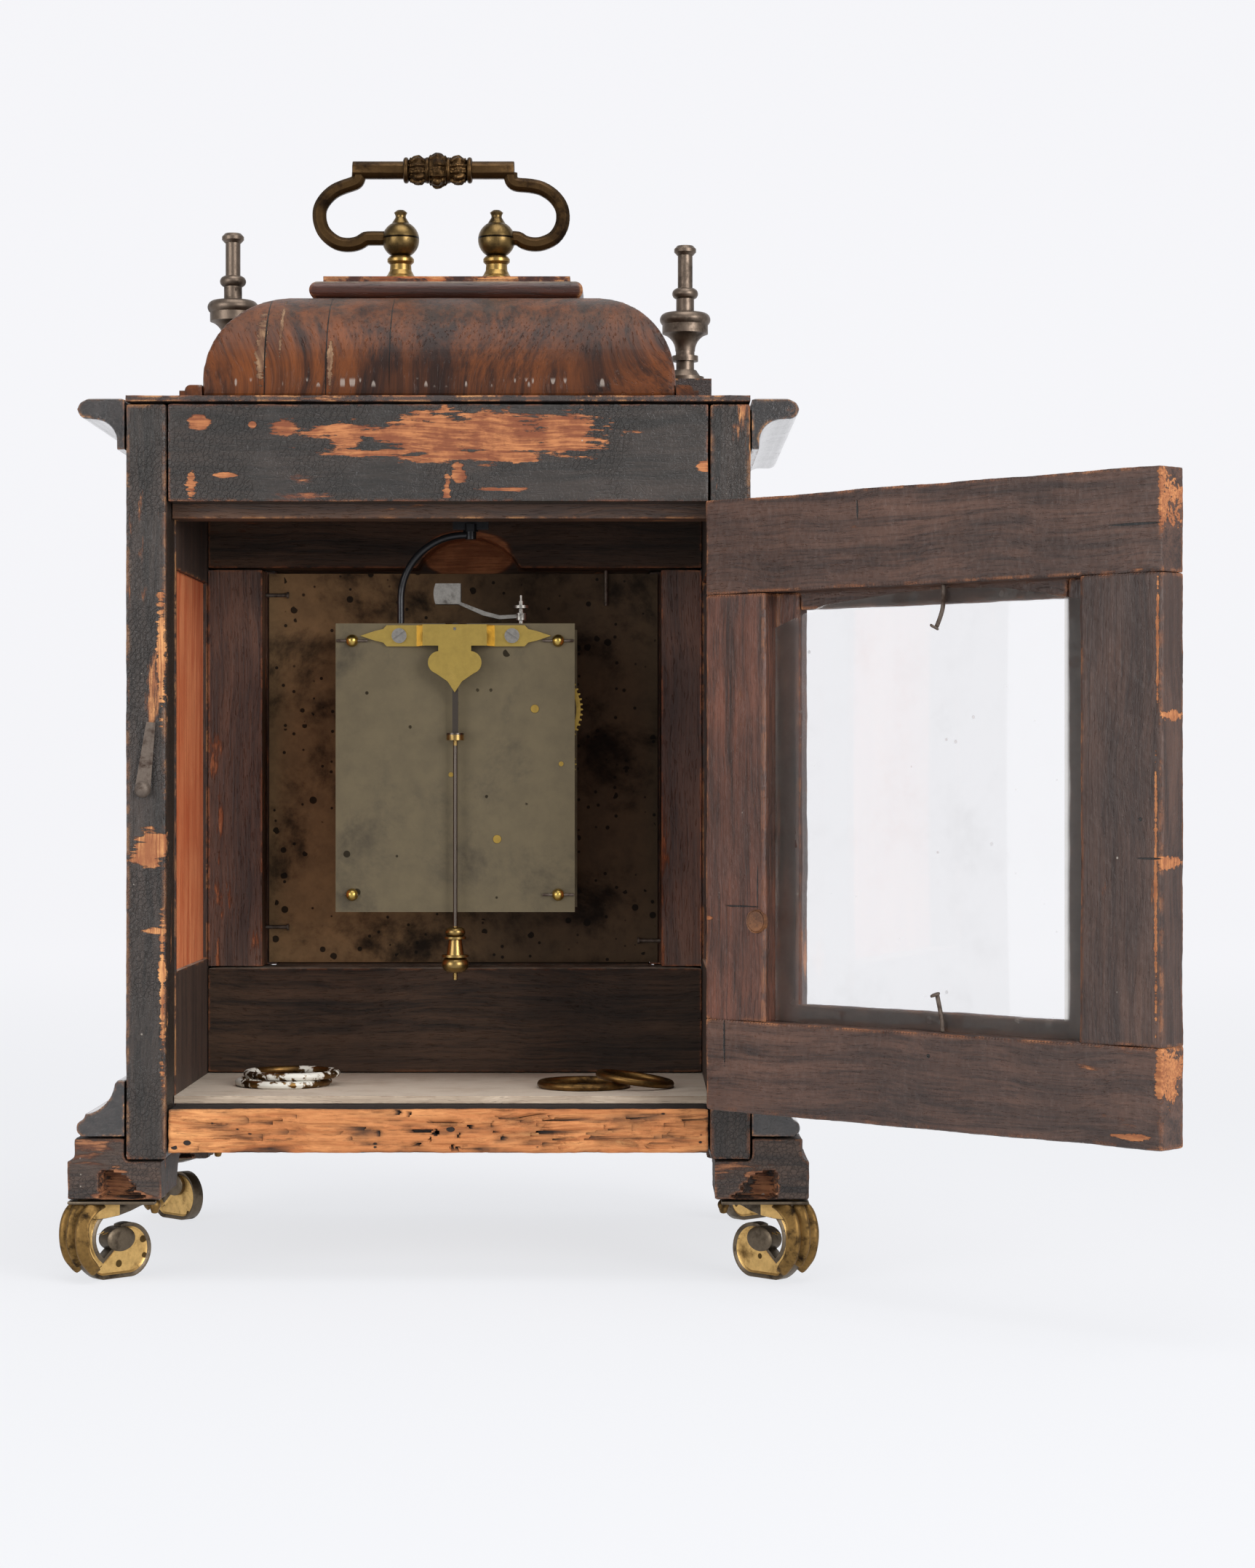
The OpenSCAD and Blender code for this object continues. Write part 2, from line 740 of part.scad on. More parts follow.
module dome_strips() {
    color([0.35, 0.2, 0.13]) both_sides() along_y(dome_y - dome_d / 2, dome_y + dome_d / 2) {
        translate([dome_w / 2, z_board]) square([strip_w, strip_h / 2]);
        translate([dome_w / 2, z_board]) square([strip_w / 2, strip_h]);
        translate([dome_w / 2 + strip_w / 2, z_board + strip_h / 2]) circle(r = strip_h / 2);
    }
}

// Outline of a slab with half-round edges
module bead_outline(half) {
    translate([-half + tier_h / 2, z_dome]) square([2 * half - tier_h, tier_h]);
    for (side = [-1, 1])
        translate([side * (half - tier_h / 2), z_dome + tier_h / 2]) circle(r = tier_h / 2);
}

module platform() {
    color([0.22, 0.12, 0.09]) {
        intersection() {
            translate([0, dome_y, 0]) along_y(-tier_d, tier_d) bead_outline(tier_w / 2);
            translate([0, dome_y, 0]) along_x(-tier_w, tier_w) bead_outline(tier_d / 2);
        }
        block([-tier_w / 2 + cap_in, dome_y - tier_d / 2 + cap_in, z_tier - sink],
              [tier_w / 2 - cap_in, dome_y + tier_d / 2 - cap_in, z_cap]);
    }
}

// Handle

module handle_posts() {
    ball_z = post_h;
    color([0.6, 0.45, 0.22]) both_sides() translate([post_gap / 2, dome_y, z_cap]) difference() {
        union() {
            rotate_extrude() polygon([
                [0, 0], [post_foot_r, 0], [post_foot_r, 1.4], [5.6, 2.6], [4.6, 4.6],
                [4.4, 7], [5.6, 8.2], [5.6, 9.4], [4.8, 10.4], [0, 10.4]
            ]);
            translate([0, 0, ball_z]) sphere(r = post_ball_r);
            translate([0, 0, ball_z + post_ball_r - 2]) cylinder(r1 = 4.4, r2 = 2.2, h = 3.6);
            translate([0, 0, ball_z + post_ball_r + 1]) cylinder(r = 2.2, h = 2);
            translate([0, 0, ball_z + post_ball_r + 2.4]) cylinder(r1 = 2.2, r2 = 2.8, h = 1.2);
            translate([0, 0, ball_z + post_ball_r + 3.6]) cylinder(r1 = 2.8, r2 = 1.6, h = 1);
        }
        translate([0, 0, ball_z]) rod_x(shank_r + run_gap, 1.5, post_ball_r + 2);
    }
}

// One half of the handle, drawn about its own middle at the hinge axis
module half_bail(shift) {
    shank_in = post_gap / 2 + 5.2 - shift;
    rod_x(shank_r, shank_in, loop_x - 4.5);
    bend = atan2(loop_r - loop_z, 7);
    translate([loop_x - 6.2, 0, 0]) rotate([0, 90 + bend, 0]) cylinder(r = bail_r, h = 7, $fn = 8);
    translate([loop_x, 0, loop_z]) rotate([90, 0, 0]) rotate([0, 0, -90])
        rotate_extrude(angle = 155) translate([loop_r, 0]) circle(r = bail_r, $fn = 8);
    tip = [loop_x + loop_r * cos(65), loop_z + loop_r * sin(65)];
    run = [bar_half - 1 - tip[0], bar_z - 1 - tip[1]];
    translate([tip[0], 0, tip[1]]) rotate([0, atan2(run[0], run[1]), 0])
        cylinder(r = bail_r, h = norm(run), $fn = 8);
    translate([-1, 0, bar_z]) rotate([0, 90, 0]) cylinder(r = bar_r, h = bar_half + 1, $fn = 8);
}

module knot(x, r) {
    round_r = knot_l / 2;
    translate([x, 0, bar_z + 0.6]) rotate([0, 90, 0]) rotate_extrude() intersection() {
        union() {
            translate([r - round_r, 0]) circle(r = round_r);
            translate([0, -round_r]) square([r - round_r, knot_l]);
        }
        translate([0, -round_r]) square([r + 1, knot_l]);
    }
}

module handle() {
    color([0.45, 0.33, 0.17]) translate([bail_shift, dome_y, handle_z]) {
        half_bail(bail_shift);
        mirror([1, 0, 0]) half_bail(-bail_shift);
        knot(0, knot_r);
        for (side = [-1, 1])
            knot(side * (knot_l - 0.6), knot_r - 1.5);
    }
}

// Finials

module finial_blocks() {
    color([0.13, 0.1, 0.09]) both_sides() difference() {
        block([finial_x - block_w / 2, finial_y - block_w / 2, z_board],
              [finial_x + block_w / 2, finial_y + block_w / 2, z_block]);
        translate([finial_x, finial_y, z_block - 13]) cylinder(r = 2 + run_gap, h = 14);
    }
}

module one_finial(lift) {
    top = finial_h;
    translate([0, 0, lift]) {
        translate([0, 0, -10]) cylinder(r = 2, h = 11);
        cylinder(r = 8.4, h = 2);
        translate([0, 0, 2]) cylinder(r1 = 7, r2 = 5, h = 3);
        translate([0, 0, 4.6]) cylinder(r = 4, h = 6);
        translate([0, 0, 9]) cylinder(r = 5.8, h = 2.4);
        translate([0, 0, 11]) cylinder(r = 4.2, h = top - 48);
        rotate_extrude() difference() {
            translate([0, top - 47]) square([10.2, 12]);
            translate([4.4 + 8, top - 47]) circle(r = 8);
            translate([10.2, top - 48]) square([8, 10]);
        }
        translate([0, 0, top - 33]) rotate_extrude() {
            translate([finial_r - 3, 0]) circle(r = 3);
            translate([0, -3]) square([finial_r - 3, 6]);
        }
        translate([0, 0, top - 31]) cylinder(r = 4, h = 12);
        translate([0, 0, top - 21.4]) rotate_extrude() {
            translate([3.4, 0]) circle(r = 2.4);
            translate([0, -2.4]) square([3.4, 4.8]);
        }
        translate([0, 0, top - 20]) cylinder(r = finial_shaft_r, h = 18);
        translate([0, 0, top - 4.2]) cylinder(r1 = 3.6, r2 = 4.9, h = 1.4);
        translate([0, 0, top - 2.8]) cylinder(r = 4.9, h = 1.4);
        translate([0, 0, top - 1.4]) cylinder(r1 = 4.9, r2 = 3.6, h = 1.4);
    }
}

module finials() {
    color([0.3, 0.22, 0.15]) {
        translate([finial_x, finial_y, z_block]) one_finial(finial_lift);
        translate([-finial_x, finial_y, z_block]) one_finial(0);
    }
}

// Mask and dial

module mask_stiles() {
    half = mask_open / 2;
    color([0.22, 0.14, 0.1]) {
        for (part = [[-mask_w / 2, mask_cx - half], [mask_cx + half, mask_w / 2]])
            block([part[0], mask_front, mask_z0], [part[1], mask_y, mask_z1]);
        block([mask_cx - half - 0.01, mask_front, mask_z0], [mask_cx - half + mask_lip, dial_y, mask_z1]);
        block([mask_cx + half - mask_lip, mask_front, mask_z0], [mask_cx + half + 0.01, dial_y, mask_z1]);
    }
}

module mask_rails() {
    half = mask_open / 2 - mask_lip;
    color([0.22, 0.14, 0.1]) {
        block([-mask_w / 2, mask_front, z_floor], [mask_w / 2, mask_y, mask_z0]);
        block([mask_cx - half, mask_front, mask_z0 - 0.01], [mask_cx + half, dial_y, mask_z0 + mask_lip]);
        difference() {
            union() {
                block([-mask_w / 2, mask_front, mask_z1], [mask_w / 2, mask_y, mask_z1 + mask_top_h]);
                block([mask_cx - half, mask_front, mask_z1 - mask_lip], [mask_cx + half, dial_y, mask_z1 + 0.01]);
            }
            translate([move_x - 2.5, 0, mask_z1 + recess_h - recess_r]) rod_y(recess_r, mask_front + 8, mask_y + 1);
        }
    }
}

module dial_plate() {
    half = dial_w / 2;
    hole = 4.4;
    color([0.42, 0.33, 0.16]) difference() {
        union() {
            block([mask_cx - half, dial_y, mask_mid - half], [mask_cx + half, dial_back, mask_mid + half]);
            for (sx = [-1, 1], sz = [-1, 1])
                at_arbor([sx * (pillar_x - 2), sz * (pillar_z - 8)]) rod_y(2, dial_back - sink, front_out);
        }
        at_arbor(centre_at) rod_y(hole, dial_y - 1, dial_back + 1);
        at_arbor(barrel_at) rod_y(hole, dial_y - 1, dial_back + 1);
        at_arbor(alarm_at) rod_y(hole, dial_y - 1, dial_back + 1);
    }
}

module chapter_ring() {
    color([0.75, 0.62, 0.36]) at_arbor(centre_at) difference() {
        rod_y(ring_r, dial_y - ring_t, dial_y);
        rod_y(ring_r - ring_w, dial_y - ring_t - 1, dial_y + 1);
        for (hour = [0:11])
            rotate([0, hour * 30, 0])
                block([-1, dial_y - ring_t - 1, ring_r - ring_w + 4], [1, dial_y - ring_t + 0.4, ring_r - 5]);
    }
}

// Bent nails that hold the dial plate in the mask, and the nail that the latch turns on
module case_nails() {
    half = mask_open / 2;
    nail_r = 0.8;
    reach = (mask_open - dial_w) / 2 + 8;
    color([0.3, 0.27, 0.25]) {
        for (spot = [[1, 76], [1, -70], [-1, -76]])
            translate([mask_cx + spot[0] * half, dial_back + nail_r + 0.1, mask_mid + spot[1]]) {
                mirror([spot[0] > 0 ? 1 : 0, 0, 0]) rod_x(nail_r, 0, reach);
                mirror([spot[0] > 0 ? 1 : 0, 0, 0]) translate([0, 0.55, 0])
                    rod_x(1.4, reach, reach + 0.8);
            }
        translate([mask_cx - half + 24, dial_back + nail_r, mask_z1]) mirror([0, 0, 1])
            cylinder(r = nail_r, h = reach + 6);
        translate([latch_x, 0, z_step + latch_z]) {
            rod_y(1.2, hd, hd + air + latch_t + air + 0.1);
            intersection() {
                translate([0, hd + 2 * air + latch_t - 1.4, 0]) sphere(r = latch_head_r + 0.4);
                rod_y(latch_head_r + 1, hd + 2 * air + latch_t, hd + 10);
            }
        }
    }
}

// Latch, a tapered strip on the left stile
latch_x = in_hw + 9.6;
latch_lean = 7;

module latch() {
    color([0.33, 0.31, 0.3]) translate([latch_x, 0, z_step + latch_z]) rotate([0, -latch_lean, 0]) difference() {
        union() {
            rod_y(latch_w / 2, hd + air, hd + air + latch_t);
            along_y(hd + air, hd + air + latch_t) polygon([
                [-latch_w / 2, 0], [latch_w / 2, 0], [latch_tip_w / 2, latch_l], [-latch_tip_w / 2, latch_l]
            ]);
        }
        rod_y(1.2 + run_gap, hd, hd + 3);
    }
}

// Back door

// Turns a piece of the shut back door about the hinge pin to where the door stands
module hung_open() {
    translate([pin_x, pin_y, 0]) rotate([0, 0, door_open]) translate([-pin_x, -pin_y, 0]) children();
}

module door_rails() {
    ledge_y = door_in + rebate_d;
    color([0.24, 0.15, 0.11]) hung_open() {
        block([-door_half, door_in, door_z0], [door_half, hd, win_z0]);
        block([win_x0 + ledge_w, ledge_y, win_z0 - 0.01], [win_x1 - ledge_w, hd, win_z0 + ledge_h]);
        block([-door_half, door_in, win_z1], [door_half, hd, door_z1]);
        block([win_x0 + ledge_w, ledge_y, win_z1 - ledge_h], [win_x1 - ledge_w, hd, win_z1 + 0.01]);
    }
}

module door_hinge_stile() {
    ledge_y = door_in + rebate_d;
    color([0.24, 0.15, 0.11]) hung_open() {
        block([-door_half, door_in, win_z0], [win_x0, hd, win_z1]);
        block([win_x0 - 0.01, ledge_y, win_z0], [win_x0 + ledge_w, hd, win_z1]);
    }
}

module door_lock_stile() {
    ledge_y = door_in + rebate_d;
    color([0.24, 0.15, 0.11]) hung_open() {
        block([win_x1, door_in, win_z0], [door_half, hd, win_z1]);
        block([win_x1 - ledge_w, ledge_y, win_z0], [win_x1 + 0.01, hd, win_z1]);
    }
}

// The pane's upper edge is broken, so it falls away from the rail towards both stiles
module door_glass() {
    slack = 0.5;
    w = win_x1 - win_x0 - 2 * slack;
    h = win_z1 - win_z0 - slack;
    color([0.85, 0.88, 0.88, 0.4]) hung_open() along_y(glass_y, glass_y + glass_t)
        translate([win_x0 + slack, win_z0 + 0.1]) polygon([
            [0, 0], [w, 0], [w, h - 8], [0.75 * w, h - 2], [0.58 * w, h - 1],
            [0.4 * w, h - 2], [0.17 * w, h - 5], [0.08 * w, h - 9], [0, h - 13]
        ]);
}

module door_nails() {
    nail_r = 0.7;
    x = win_x0 + 0.5537 * (win_x1 - win_x0);
    y = glass_y - nail_r - 0.05;
    color([0.36, 0.32, 0.28]) hung_open() {
        for (end = [[win_z1, 1, 16], [win_z0, 0, 14]])
            translate([x, y, end[0]]) mirror([0, 0, end[1]]) {
                cylinder(r = nail_r, h = end[2]);
                translate([0, -0.68, end[2]]) cylinder(r = 1.4, h = 0.7);
            }
    }
}

// Heights of the two hinges, and the part of a knuckle's height that one leaf keeps
function hinge_levels(z0 = door_z0) = [z0 + 26, door_z1 - 26];

module knuckles(owner) {
    third = hinge_h / 3;
    spans = owner == "case" ? [[-1.5, -0.5], [0.5, 1.5]] : [[-0.5, 0.5]];
    for (span = spans) {
        slack = owner == "case" ? 0 : air;
        translate([0, 0, third * span[0] + slack]) difference() {
            cylinder(r = knuckle_r, h = third * (span[1] - span[0]) - 2 * slack);
            if (owner == "door")
                translate([0, 0, -1]) cylinder(r = hinge_pin_r + run_gap, h = third + 2);
        }
    }
}

// Leaf beside the pin: side is the way it runs along X, out is the way off the wood along Y
module hinge_leaf(side, out) {
    third = hinge_h / 3;
    y0 = -out * (knuckle_r + 0.1);
    low = min(y0, y0 + out * leaf_t);
    for (span = side * out < 0 ? [[-1.5, -0.5], [0.5, 1.5]] : [[-0.5, 0.5]]) {
        slack = span[0] < -1 || span[1] > 1 ? 0 : air;
        translate([side > 0 ? 0 : -knuckle_r - 1, low, third * span[0] + slack])
            cube([knuckle_r + 1, leaf_t, third * (span[1] - span[0]) - 2 * slack]);
    }
    translate([side > 0 ? knuckle_r + 0.6 : -knuckle_r - 0.6 - leaf_w, low, -hinge_h / 2])
        cube([leaf_w, leaf_t, hinge_h]);
}

module case_hinges() {
    color([0.35, 0.33, 0.3]) {
        for (z = hinge_levels()) translate([pin_x, pin_y, z]) {
            knuckles("case");
            cylinder(r = hinge_pin_r, h = hinge_h, center = true);
            difference() {
                hinge_leaf(-1, 1);
                cylinder(r = hinge_pin_r, h = hinge_h, center = true);
            }
        }
        for (z = hinge_levels(front_z0))
            mirror([1, 0, 0]) mirror([0, 1, 0]) translate([-front_pin_x, -front_pin_y, z]) {
                knuckles("case");
                cylinder(r = hinge_pin_r, h = hinge_h, center = true);
                hinge_leaf(-1, 1);
            }
    }
}

module door_hinge_leaves() {
    color([0.35, 0.33, 0.3]) hung_open() for (z = hinge_levels())
        translate([pin_x, pin_y, z]) {
            knuckles("door");
            difference() {
                hinge_leaf(1, 1);
                cylinder(r = hinge_pin_r + run_gap, h = hinge_h, center = true);
            }
        }
}

// Front door

module front_door_frame() {
    w = front_rail_w;
    color([0.16, 0.12, 0.1]) difference() {
        block([-door_half, -hd, front_z0], [door_half, -hd + front_door_t, door_z1]);
        block([-door_half + w, -hd - 1, front_z0 + w], [door_half - w, 0, door_z1 - w]);
        block([-door_half + w - 5, -hd + 6, front_z0 + w - 5], [door_half - w + 5, 0, door_z1 - w + 5]);
    }
}

module front_door_glass() {
    w = front_rail_w - 4.5;
    color([0.85, 0.88, 0.88, 0.4])
        block([-door_half + w, -hd + 6, front_z0 + w], [door_half - w, -hd + 6 + glass_t, door_z1 - w]);
}

module front_door_hinge_leaves() {
    color([0.6, 0.48, 0.24]) for (z = hinge_levels(front_z0))
        mirror([1, 0, 0]) mirror([0, 1, 0]) translate([-front_pin_x, -front_pin_y, z]) {
            knuckles("door");
            difference() {
                hinge_leaf(1, 1);
                cylinder(r = hinge_pin_r + run_gap, h = hinge_h, center = true);
            }
        }
}

// Movement frame

module pivot_holes(y0, y1) {
    for (place = [centre_at, contrate_at, pinwheel_at])
        at_arbor(place) rod_y(pivot_r + run_gap, y0 - 1, y1 + 1);
    for (place = [barrel_at, alarm_at])
        at_arbor(place) rod_y(barrel_pivot_r + run_gap, y0 - 1, y1 + 1);
}

module plate(y0, y1) {
    block([move_x - plate_w / 2, y0, move_z - plate_h / 2], [move_x + plate_w / 2, y1, move_z + plate_h / 2]);
}

module front_plate() {
    color([0.55, 0.45, 0.24]) {
        difference() {
            plate(front_out, front_in);
            difference() {
                pivot_holes(front_out, front_in);
                at_arbor(centre_at) rod_y(2.4, front_out - 2, front_in + 2);
            }
            at_arbor(centre_at) rod_y(1.6 + run_gap, front_out - 1, front_in + 1);
            at_arbor([contrate_at[0], verge_z]) rod_y(verge_r + run_gap, front_out - 1, front_in + 1);
        }
        at_arbor(minute_at) rod_y(1.2, hour_y - 2.6, front_out + sink);
        at_arbor(minute_at) rod_y(2.4, cannon_y + 2 + air, front_out + sink);
    }
}

module back_plate() {
    verge_x = move_x + contrate_at[0];
    color([0.5, 0.46, 0.36]) difference() {
        plate(back_in, plate_y);
        pivot_holes(back_in, plate_y);
        block([verge_x - 4.5, back_in - 1, move_z + verge_z - 4.5],
              [verge_x + 4.5, plate_y + 1, move_z + plate_h / 2 + 1]);
        for (spot = [[-9.3, 32.4], [-14.9, 32.4], [18.8, 17]])
            at_arbor(spot) rod_y(0.7, plate_y - 1.5, plate_y + 1);
        for (side = [-1, 1])
            at_arbor([contrate_at[0] + side * cock_screw_x, cock_mid_z()]) rod_y(1.5, back_in - 1, plate_y + 1);
    }
}

module movement_pillars() {
    color([0.6, 0.48, 0.25]) for (sx = [-1, 1], sz = [-1, 1])
        at_arbor([sx * pillar_x, sz * pillar_z]) {
            rod_y(pillar_r, front_in, front_in + 4);
            rod_y(pillar_r - 0.9, front_in + 3, back_in - 3);
            translate([0, (front_in + back_in) / 2, 0]) rod_y(pillar_r, -3, 3);
            rod_y(pillar_r, back_in - 4, back_in);
            difference() {
                translate([0, plate_y, 0]) rotate([-90, 0, 0]) rotate_extrude() intersection() {
                    translate([0, 0.6]) circle(r = 2.6);
                    square([4, 4]);
                }
                translate([0, plate_y + 1.1, 0]) rod_x(0.55, -6, 6);
            }
        }
}

module pillar_pins() {
    color([0.4, 0.36, 0.3]) for (sx = [-1, 1], sz = [-1, 1])
        at_arbor([sx * pillar_x, sz * pillar_z]) translate([0, plate_y + 1.1, 0])
            rod_x(0.55, sx * sz < 0 && sz < 0 ? -2.6 : -6.5, sx * sz < 0 && sz < 0 ? 3 : 6.5);
}

// Height of the cock's wings above the movement's middle
function cock_mid_z() = verge_z - 2.6;

// Cock outline seen from the back: spear-ended wings, middle block and heart-shaped apron
module cock_wings_outline() {
    half = cock_l / 2;
    h = cock_wing_h / 2;
    for (side = [-1, 1])
        mirror([side > 0 ? 0 : 1, 0]) polygon([
            [cock_mid_w / 2 + 1.5, -h], [half - 11, -h], [half - 9.5, -h + 1.6], [half - 6, -h + 2.4], [half, 0],
            [half - 6, h - 2.4], [half - 9.5, h - 1.6], [half - 11, h], [cock_mid_w / 2 + 1.5, h]
        ]);
}

module cock_middle_outline() {
    h = cock_wing_h / 2;
    square([cock_mid_w, cock_wing_h], center = true);
    translate([-6.8, -h - 3.5]) square([13.6, 4]);
    for (side = [-1, 1])
        translate([side * 6.4, -h - 7]) circle(r = 4.7);
    polygon([[-6, -h - 3], [6, -h - 3], [10, -h - 10], [3, -h - 14.8], [0, -h - 19.4], [-3, -h - 14.8], [-10, -h - 10]]);
}

module back_cock() {
    mid_y = plate_y + cock_rise;
    half = cock_mid_w / 2;
    h = cock_wing_h;
    color([0.78, 0.62, 0.26]) translate([move_x + contrate_at[0], 0, move_z + cock_mid_z()]) difference() {
        union() {
            along_y(plate_y, plate_y + cock_t) cock_wings_outline();
            along_y(mid_y, mid_y + cock_t) cock_middle_outline();
            for (side = [-1, 1])
                mirror([side > 0 ? 0 : 1, 0, 0]) translate([0, 0, -h / 2]) linear_extrude(h) polygon([
                    [half - 0.5, mid_y], [half - 0.5, mid_y + cock_t], [half + 0.6, mid_y + cock_t],
                    [half + 3.6, plate_y + cock_t], [half + 3.6, plate_y], [half + 1.6, plate_y]
                ]);
        }
        translate([0, 0, verge_z - cock_mid_z()]) rod_y(0.6 + run_gap, mid_y - 1, mid_y + cock_t + 1);
        for (side = [-1, 1])
            translate([side * cock_screw_x, 0, 0]) rod_y(1.6, plate_y - 1, plate_y + cock_t + 1);
    }
}

module cock_screws() {
    color([0.42, 0.4, 0.38]) for (side = [-1, 1])
        translate([move_x + contrate_at[0] + side * cock_screw_x, 0, move_z + cock_mid_z()]) difference() {
            union() {
                rod_y(1.45, back_in + 0.2, plate_y + cock_t + 0.5);
                rod_y(3.1, plate_y + cock_t, plate_y + cock_t + 1.5);
            }
            rotate([0, 35 * side, 0])
                block([-4, plate_y + cock_t + 0.8, -0.4], [4, plate_y + cock_t + 3, 0.4]);
        }
}

// Bracket on the back plate with the crown wheel's two bearings
module crown_bracket() {
    low = contrate_at[1] + contrate_r - 5.5;
    high = crown_tip_z - crown_h - 2.8;
    color([0.7, 0.56, 0.28]) at_arbor([contrate_at[0], 0]) difference() {
        union() {
            block([-4, back_in - 3, low - 1.5], [4, back_in, high + 1.5]);
            block([-3, crown_y - 3, low - 1.5], [3, back_in - 2.9, low + 0.5]);
            block([-3, crown_y + 2.2, high - 0.5], [3, back_in - 2.9, high + 1.5]);
            translate([0, crown_y, high - 0.5]) cylinder(r = 3.4, h = 2);
        }
        translate([0, crown_y, low - 3]) cylinder(r = 0.8 + run_gap, h = high - low + 8);
    }
}

// Bracket on the back plate with the two bearings of the hammer's arbor
module hammer_bracket() {
    top = plate_h / 2;
    color([0.7, 0.56, 0.28]) at_arbor([hammer_x, top]) difference() {
        union() {
            block([-3.5, back_in - 3, -11], [3.5, back_in, -1.5]);
            for (z = [-11, -3.5])
                block([-2.6, hammer_y - 2.6, z], [2.6, back_in - 2.9, z + 2]);
        }
        translate([0, hammer_y, -20]) cylinder(r = 1.2 + run_gap, h = 30);
    }
}

module arbor_brackets() {
    crown_bracket();
    hammer_bracket();
}

// Bell stand, bent over to the nut that holds the bell
module bell_stand() {
    x = 23.7;
    y = 20;
    z0 = plate_h / 2 - 11.6;
    z1 = plate_h / 2 + 10.9;
    r = stand_bend_r;
    nut_x = x - r - 2.5;
    color([0.12, 0.11, 0.11]) at_arbor([0, 0]) {
        translate([x, y, z0 - 0.5]) cylinder(r = stand_r, h = z1 - z0 + 0.5);
        translate([x, 0, z0]) rod_y(stand_r, y - 0.6, back_in);
        translate([x, 0, z0]) rod_y(stand_r + 2, back_in - 1.5, back_in);
        translate([x - r, y, z1]) rotate([90, 0, 0]) rotate_extrude(angle = 90)
            translate([r, 0]) circle(r = stand_r);
        translate([x - r, y, z1 + r]) rod_x(stand_r, -2.5, 0);
        translate([nut_x, y, z1 + r - 1.8]) cylinder(r = 2.3, h = 4);
        translate([nut_x, y, z1 + r + 1.4]) cylinder(r = 3.2, h = 3.2, $fn = 6);
        translate([nut_x, y, z1 + r + 4.4]) cylinder(r = 1.1, h = 2.6);
        block([nut_x - nut_w / 2, y - 1.2, z1 + r + 2.2], [nut_x + nut_w / 2, y + 1.2, z1 + r + 5.6]);
    }
}

// Rings lying on the floor of the case
module loose_ring(outer) {
    rotate_extrude() translate([outer - wire_r, 0]) circle(r = wire_r);
}

module loose_rings() {
    lean = 8.1;
    color([0.6, 0.46, 0.22]) {
        translate([0.636 * in_hw, 0.295 * hd, z_floor + wire_r]) loose_ring(loose_r);
        translate([0.6065 * in_hw, 0.274 * hd, z_floor + 3 * wire_r + 0.05]) loose_ring(loose_r);
        translate([-0.5306 * in_hw, 0.4 * hd, z_floor + wire_r]) loose_ring(loose_r - 0.7);
        translate([-0.7269 * in_hw, 0.4105 * hd, z_floor + wire_r + (loose_small_r - wire_r) * sin(lean)])
            rotate([0, -lean, 0]) loose_ring(loose_small_r);
    }
}

// Wheels

// Flat outline of a gear with narrow teeth; share is the part of a pitch that a tooth fills
module gear_outline(teeth, m, share) {
    pitch_r = teeth * m / 2;
    root_r = pitch_r - 0.9 * m;
    tip_r = pitch_r + 0.6 * m;
    half = share * PI * m / 2;
    circle(r = root_r, $fn = 96);
    for (i = [0:teeth - 1])
        rotate(i * 360 / teeth) polygon([
            [root_r - 0.4 * m, -1.15 * half], [pitch_r, -half], [tip_r, -0.45 * half],
            [tip_r, 0.45 * half], [pitch_r, half], [root_r - 0.4 * m, 1.15 * half]
        ]);
}

// Wheel with four crossings, standing along Y; phase turns the first tooth from +X towards +Z
module toothed_wheel(teeth, m, y0, y1, hub_r, phase) {
    rim_r = teeth * m / 2 - 3.4 * m;
    along_y(y0, y1) rotate(phase) difference() {
        gear_outline(teeth, m, 0.36);
        if (rim_r > hub_r + 3)
            difference() {
                circle(r = rim_r);
                circle(r = hub_r);
                for (turn = [0, 90])
                    rotate(turn) square([3 * rim_r, 3], center = true);
            }
    }
}

module pinion(count, m, y0, y1, phase) {
    along_y(y0, y1) rotate(phase) gear_outline(count, m, 0.3);
}

// Half a tooth pitch, in degrees
function half_pitch(teeth) = 180 / teeth;

module great_wheel() {
    phase = facing(barrel_at, centre_at);
    color([0.72, 0.58, 0.3]) at_arbor(barrel_at) {
        toothed_wheel(great_teeth, great_m, great_y, great_y + wheel_t, barrel_r - 1, phase);
        rod_y(barrel_r, great_y + wheel_t - 0.1, barrel_y1);
        rod_y(2.6, front_in + air, back_in - air);
        rod_y(barrel_pivot_r, front_out - 14, plate_y + 0.4);
        along_y(dial_y - 4, front_out - 13) square([2.2, 2.2], center = true);
    }
}

module centre_wheel() {
    pinion_phase = facing(centre_at, barrel_at) + half_pitch(leaves);
    wheel_phase = facing(centre_at, contrate_at);
    color([0.72, 0.58, 0.3]) at_arbor(centre_at) {
        pinion(leaves, great_m, great_y - 1, great_y + wheel_t + 1, pinion_phase);
        toothed_wheel(centre_teeth, centre_m, centre_y, centre_y + wheel_t, 5, wheel_phase);
        rod_y(1.6, minute_hand_y - 1.5, back_in - air);
        rod_y(pivot_r, back_in - 2, plate_y + 0.2);
        pinion(20, minute_m, cannon_y, cannon_y + 3, 0);
    }
}

